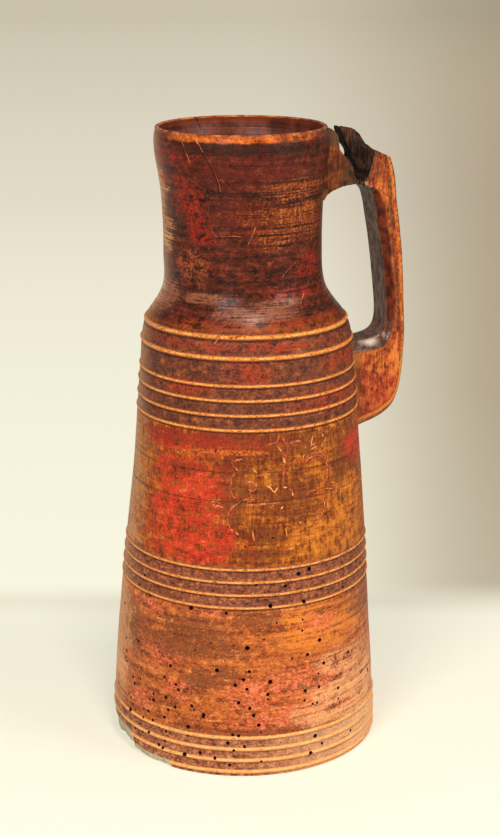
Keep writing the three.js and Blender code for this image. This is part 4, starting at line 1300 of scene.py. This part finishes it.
for name, node, (middle, _) in [("lower_wedge", "lower_tenon_wedge", tenon_sizes[0]),
                                ("upper_wedge", "upper_tenon_wedge", tenon_sizes[1])]:
    end = inside_radius(np.array([float(middle)]))[0] - 1.2
    taper = [(end, middle - 1.15), (end + 6.9, middle - 0.42), (end + 6.9, middle + 0.42),
             (end, middle + 1.15)]
    wedge = remeshed(plate(name, softened(taper, 0.3, 2), -5.9, 5.9), 0.22)
    roughened(wedge, lambda places: 0.07 * clouds(places, 1.6, 0.7, 4.0))
    clad(wedge, plain_wood, 180)
    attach(wedge, "root")
    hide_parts(node)


# The bottom board
# A round board let into the foot from below, where the turner hollowed the vessel out. Its underside still
# has the rings of the gouge and the hole of the lathe's centre, and its edge is bevelled to drive in.

board_radius = rebate_radius - 0.3
gouge_marks = [(r, recess + 0.16 + 0.16 * math.cos(r * 2.1) + 0.5 * math.exp(-(((r - 46) / 1.2) ** 2)))
               for r in np.arange(3.2, board_radius - 2, 0.55)]
board_outline = [
    (0, recess + 2.4), (0.9, recess + 2.2), (1.6, recess + 0.9), (2.4, recess + 0.3), *gouge_marks,
    (board_radius - 1.2, recess + 0.1), (board_radius - 0.3, recess + 0.7), (board_radius, recess + 1.6),
    (board_radius, 12), (board_radius, 16.6), (board_radius - 0.6, 17.2), (54, 17.2), (40, 17.15),
    (25, 17.2), (12, 17.1), (0, 17.15),
]
bottom = turned("bottom_board", board_outline, 128, 0.12, 60.0, plain_wood)

# The pegs' holes are bored through the vessel's foot and the board together
peg_radius, peg_level, peg_length = 2.2, 12, 15


def peg_points(turn, grow=0.0, sides=11):
    """A whittled peg that lies in the foot at an angle from the handle: its points and its faces."""
    end = bare_radius(peg_level)[0]
    start = end - peg_length
    rings = [(start, 0.55), (start + 0.5, 0.92), (start + 5, 0.97), (start + 10, 1.0), (end - 0.3, 1.0),
             (end, 0.9)]
    if grow:
        rings = [(start - grow, 1), (end + 4, 1)]
    points = []
    for reach, share in rings:
        for side in range(sides):
            a = 2 * math.pi * side / sides
            uneven = 0 if grow else 0.05 * noise.noise(Vector((turn, side, reach / 9)))
            radius = (peg_radius + grow) * share * (1 + uneven)
            points.append((reach, radius * math.cos(a), peg_level + radius * math.sin(a)))
    count = len(rings)
    faces = [(r * sides + i, r * sides + (i + 1) % sides, (r + 1) * sides + (i + 1) % sides,
              (r + 1) * sides + i)
             for r in range(count - 1) for i in range(sides)]
    faces += [tuple(range(sides))[::-1], tuple(range((count - 1) * sides, count * sides))]
    turn = math.radians(turn)
    around = np.array(Matrix.Rotation(turn, 3, "Z"))
    return np.array(points) @ around.T + warp(peg_level), faces


peg_turns = [45, 135, 225, 315]
for turn in peg_turns:
    for made in (bottom, vessel):
        cut(made, facing_out(cutter("peg_hole", *peg_points(turn, 0.06), 2)))
clad(bottom, plain_wood, 40)
vessel.data.shade_smooth()
vessel.data.set_sharp_from_angle(angle=math.radians(40))
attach(bottom, "root")
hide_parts("base_disc")


# The pegs and the pitch
# Four whittled pegs hold the board through the foot's wall, cut off flush and painted over. A fillet of
# pitch run round the inner corner makes the joint tight.

points, faces = [], []
for turn in peg_turns:
    more, sides = peg_points(turn)
    faces += [tuple(i + len(points) for i in side) for side in sides]
    points += list(more)
pegs = facing_out(piece("foot_pegs", points, faces))
clad(pegs, painted, 40)
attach(pegs, "root")
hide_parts("base_peg_1", "base_peg_2", "base_peg_3", "base_peg_4")

resin = Finish("pitch")
lumps = resin.grain(5, 5, 3, 0.6, 2.0)
grit = resin.grain(0.8, 0.8, 2, 0.6, 6.0)
tone = resin.mix(resin.rise(lumps * 0.6 + grit * 0.4, 0.4, 0.65), (22, 14, 9), (52, 32, 18))
tarry = resin.done(tone, 0.25 + lumps * 0.3, lumps * 0.7 + grit * 0.3, 0.6)
corner = inside_radius(np.array([rebate_top]))[0] - 0.3
top = inside_radius(np.array([21.0]))[0] - 0.35
fillet = [(corner - 3.4, 17.55), (corner, 17.55), (top, 20.9), (top - 0.5, 20.5), (top - 1.3, 19.3),
          (corner - 2.2, 18.3)]
seal = turned("pitch_fillet", softened(fillet, 0.5, 2), 160, 0.5, 120.0, tarry)
clad(seal, tarry, 60)
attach(seal, "root")
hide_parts("base_seal")


# The floor and the light
# A pale floor that meets a pale wall far behind it, only to stand the flagon on and to take its shadow.
# Three lamps light it from the left, the right and above, and the camera looks a little down on it.

camera_place, camera_turn, camera_tilt = (-0.36425, -0.88129, 0.4447), 22.139, 15.867
floor_radius = 14
floor_mesh = bpy.data.meshes.new("floor")
ring = [(floor_radius * math.cos(math.radians(a)), floor_radius * math.sin(math.radians(a)), 0)
        for a in range(0, 360, 5)]
floor_mesh.from_pydata(ring, [], [tuple(range(len(ring)))])
floor = bpy.data.objects.new("floor", floor_mesh)
bpy.context.scene.collection.objects.link(floor)
ground = Finish("pale floor")
# The wall's tones run with how far back a place lies and how far it lies to the right: painted light and
# shade, lighter at the left and darker to the right
back, aside = math.cos(math.radians(camera_turn)), math.sin(math.radians(camera_turn))
camera_reach = math.hypot(*camera_place[:2]) / mm
deep = ground.x * aside + ground.y * back
side = (ground.x * back - ground.y * aside) / (deep + camera_reach)
far = ground.rise(deep, 145, 215)
tone = ground.mix(far, (252, 250, 234), (222, 214, 194))
cast = ground.add("ShaderNodeBsdfPrincipled", {}, {
    "Base Color": tone, "Roughness": 0.75, "Specular IOR Level": 0.2})["BSDF"]
left = ground.ramp(deep / 6000, (0.03, 250, 247, 224), (0.18, 239, 233, 213), (0.3, 226, 219, 200),
                   (0.6, 212, 205, 184), (1.0, 202, 194, 171))
right = ground.ramp(deep / 6000, (0.03, 190, 178, 155), (0.12, 178, 162, 137), (0.3, 174, 158, 134),
                    (0.6, 176, 160, 136), (1.0, 164, 152, 130))
wall = ground.mix(ground.rise(side, 0.0, 0.16), left, right)
laid_out = ground.mix(far, (255, 254, 233), wall)
glow = ground.add("ShaderNodeEmission", {}, {"Color": laid_out, "Strength": 1.0})["Emission"]
path = ground.add("ShaderNodeLightPath")
seen = path["Is Camera Ray"].either(path["Is Glossy Ray"]).either(path["Is Transmission Ray"])
laid = ground.add("ShaderNodeMixShader", {}, {0: far.either(0.4) * seen, 1: cast, 2: glow})["Shader"]
ground.add("ShaderNodeOutputMaterial", {}, {"Surface": laid})
floor.data.materials.append(ground.material)

scene = bpy.context.scene
world = bpy.data.worlds.new("world")
world.use_nodes = True
scene.world = world
sky = Builder(world.node_tree)
sky.tree.nodes.clear()
light = sky.add("ShaderNodeBackground", {}, {"Color": colour(255, 248, 236), "Strength": 0.3})["Background"]
sky.add("ShaderNodeOutputWorld", {}, {"Surface": light})


def lamp(name, place, aim, size, power, tint):
    data = bpy.data.lights.new(name, "AREA")
    data.size = size
    data.energy = power
    data.color = tint
    made = bpy.data.objects.new(name, data)
    scene.collection.objects.link(made)
    made.location = place
    made.rotation_euler = (Vector(aim) - Vector(place)).to_track_quat("-Z", "Y").to_euler()
    return made


lamp("left light", (-1.3, -1.3, 1.3), (0, 0, 0.16), 0.8, 28, (1, 0.96, 0.9))
lamp("right light", (1.2, -1.5, 1.0), (0, 0, 0.14), 0.9, 18, (1, 0.95, 0.88))
lamp("ceiling light", (-0.1, -0.9, 1.9), (0, 0, 0.2), 0.35, 14, (1, 0.95, 0.88))

camera_data = bpy.data.cameras.new("camera")
camera_data.lens = 79.85
camera_data.sensor_width = 36
camera = bpy.data.objects.new("camera", camera_data)
scene.collection.objects.link(camera)
camera.location = camera_place
camera.rotation_mode = "XYZ"
faced = Matrix.Rotation(math.radians(-camera_turn), 3, "Z")
tipped = Matrix.Rotation(math.radians(90 - camera_tilt), 3, "X")
camera.rotation_euler = (faced @ tipped @ Matrix.Rotation(-0.001616, 3, "Z")).to_euler()
scene.camera = camera
scene.view_settings.view_transform = "Standard"
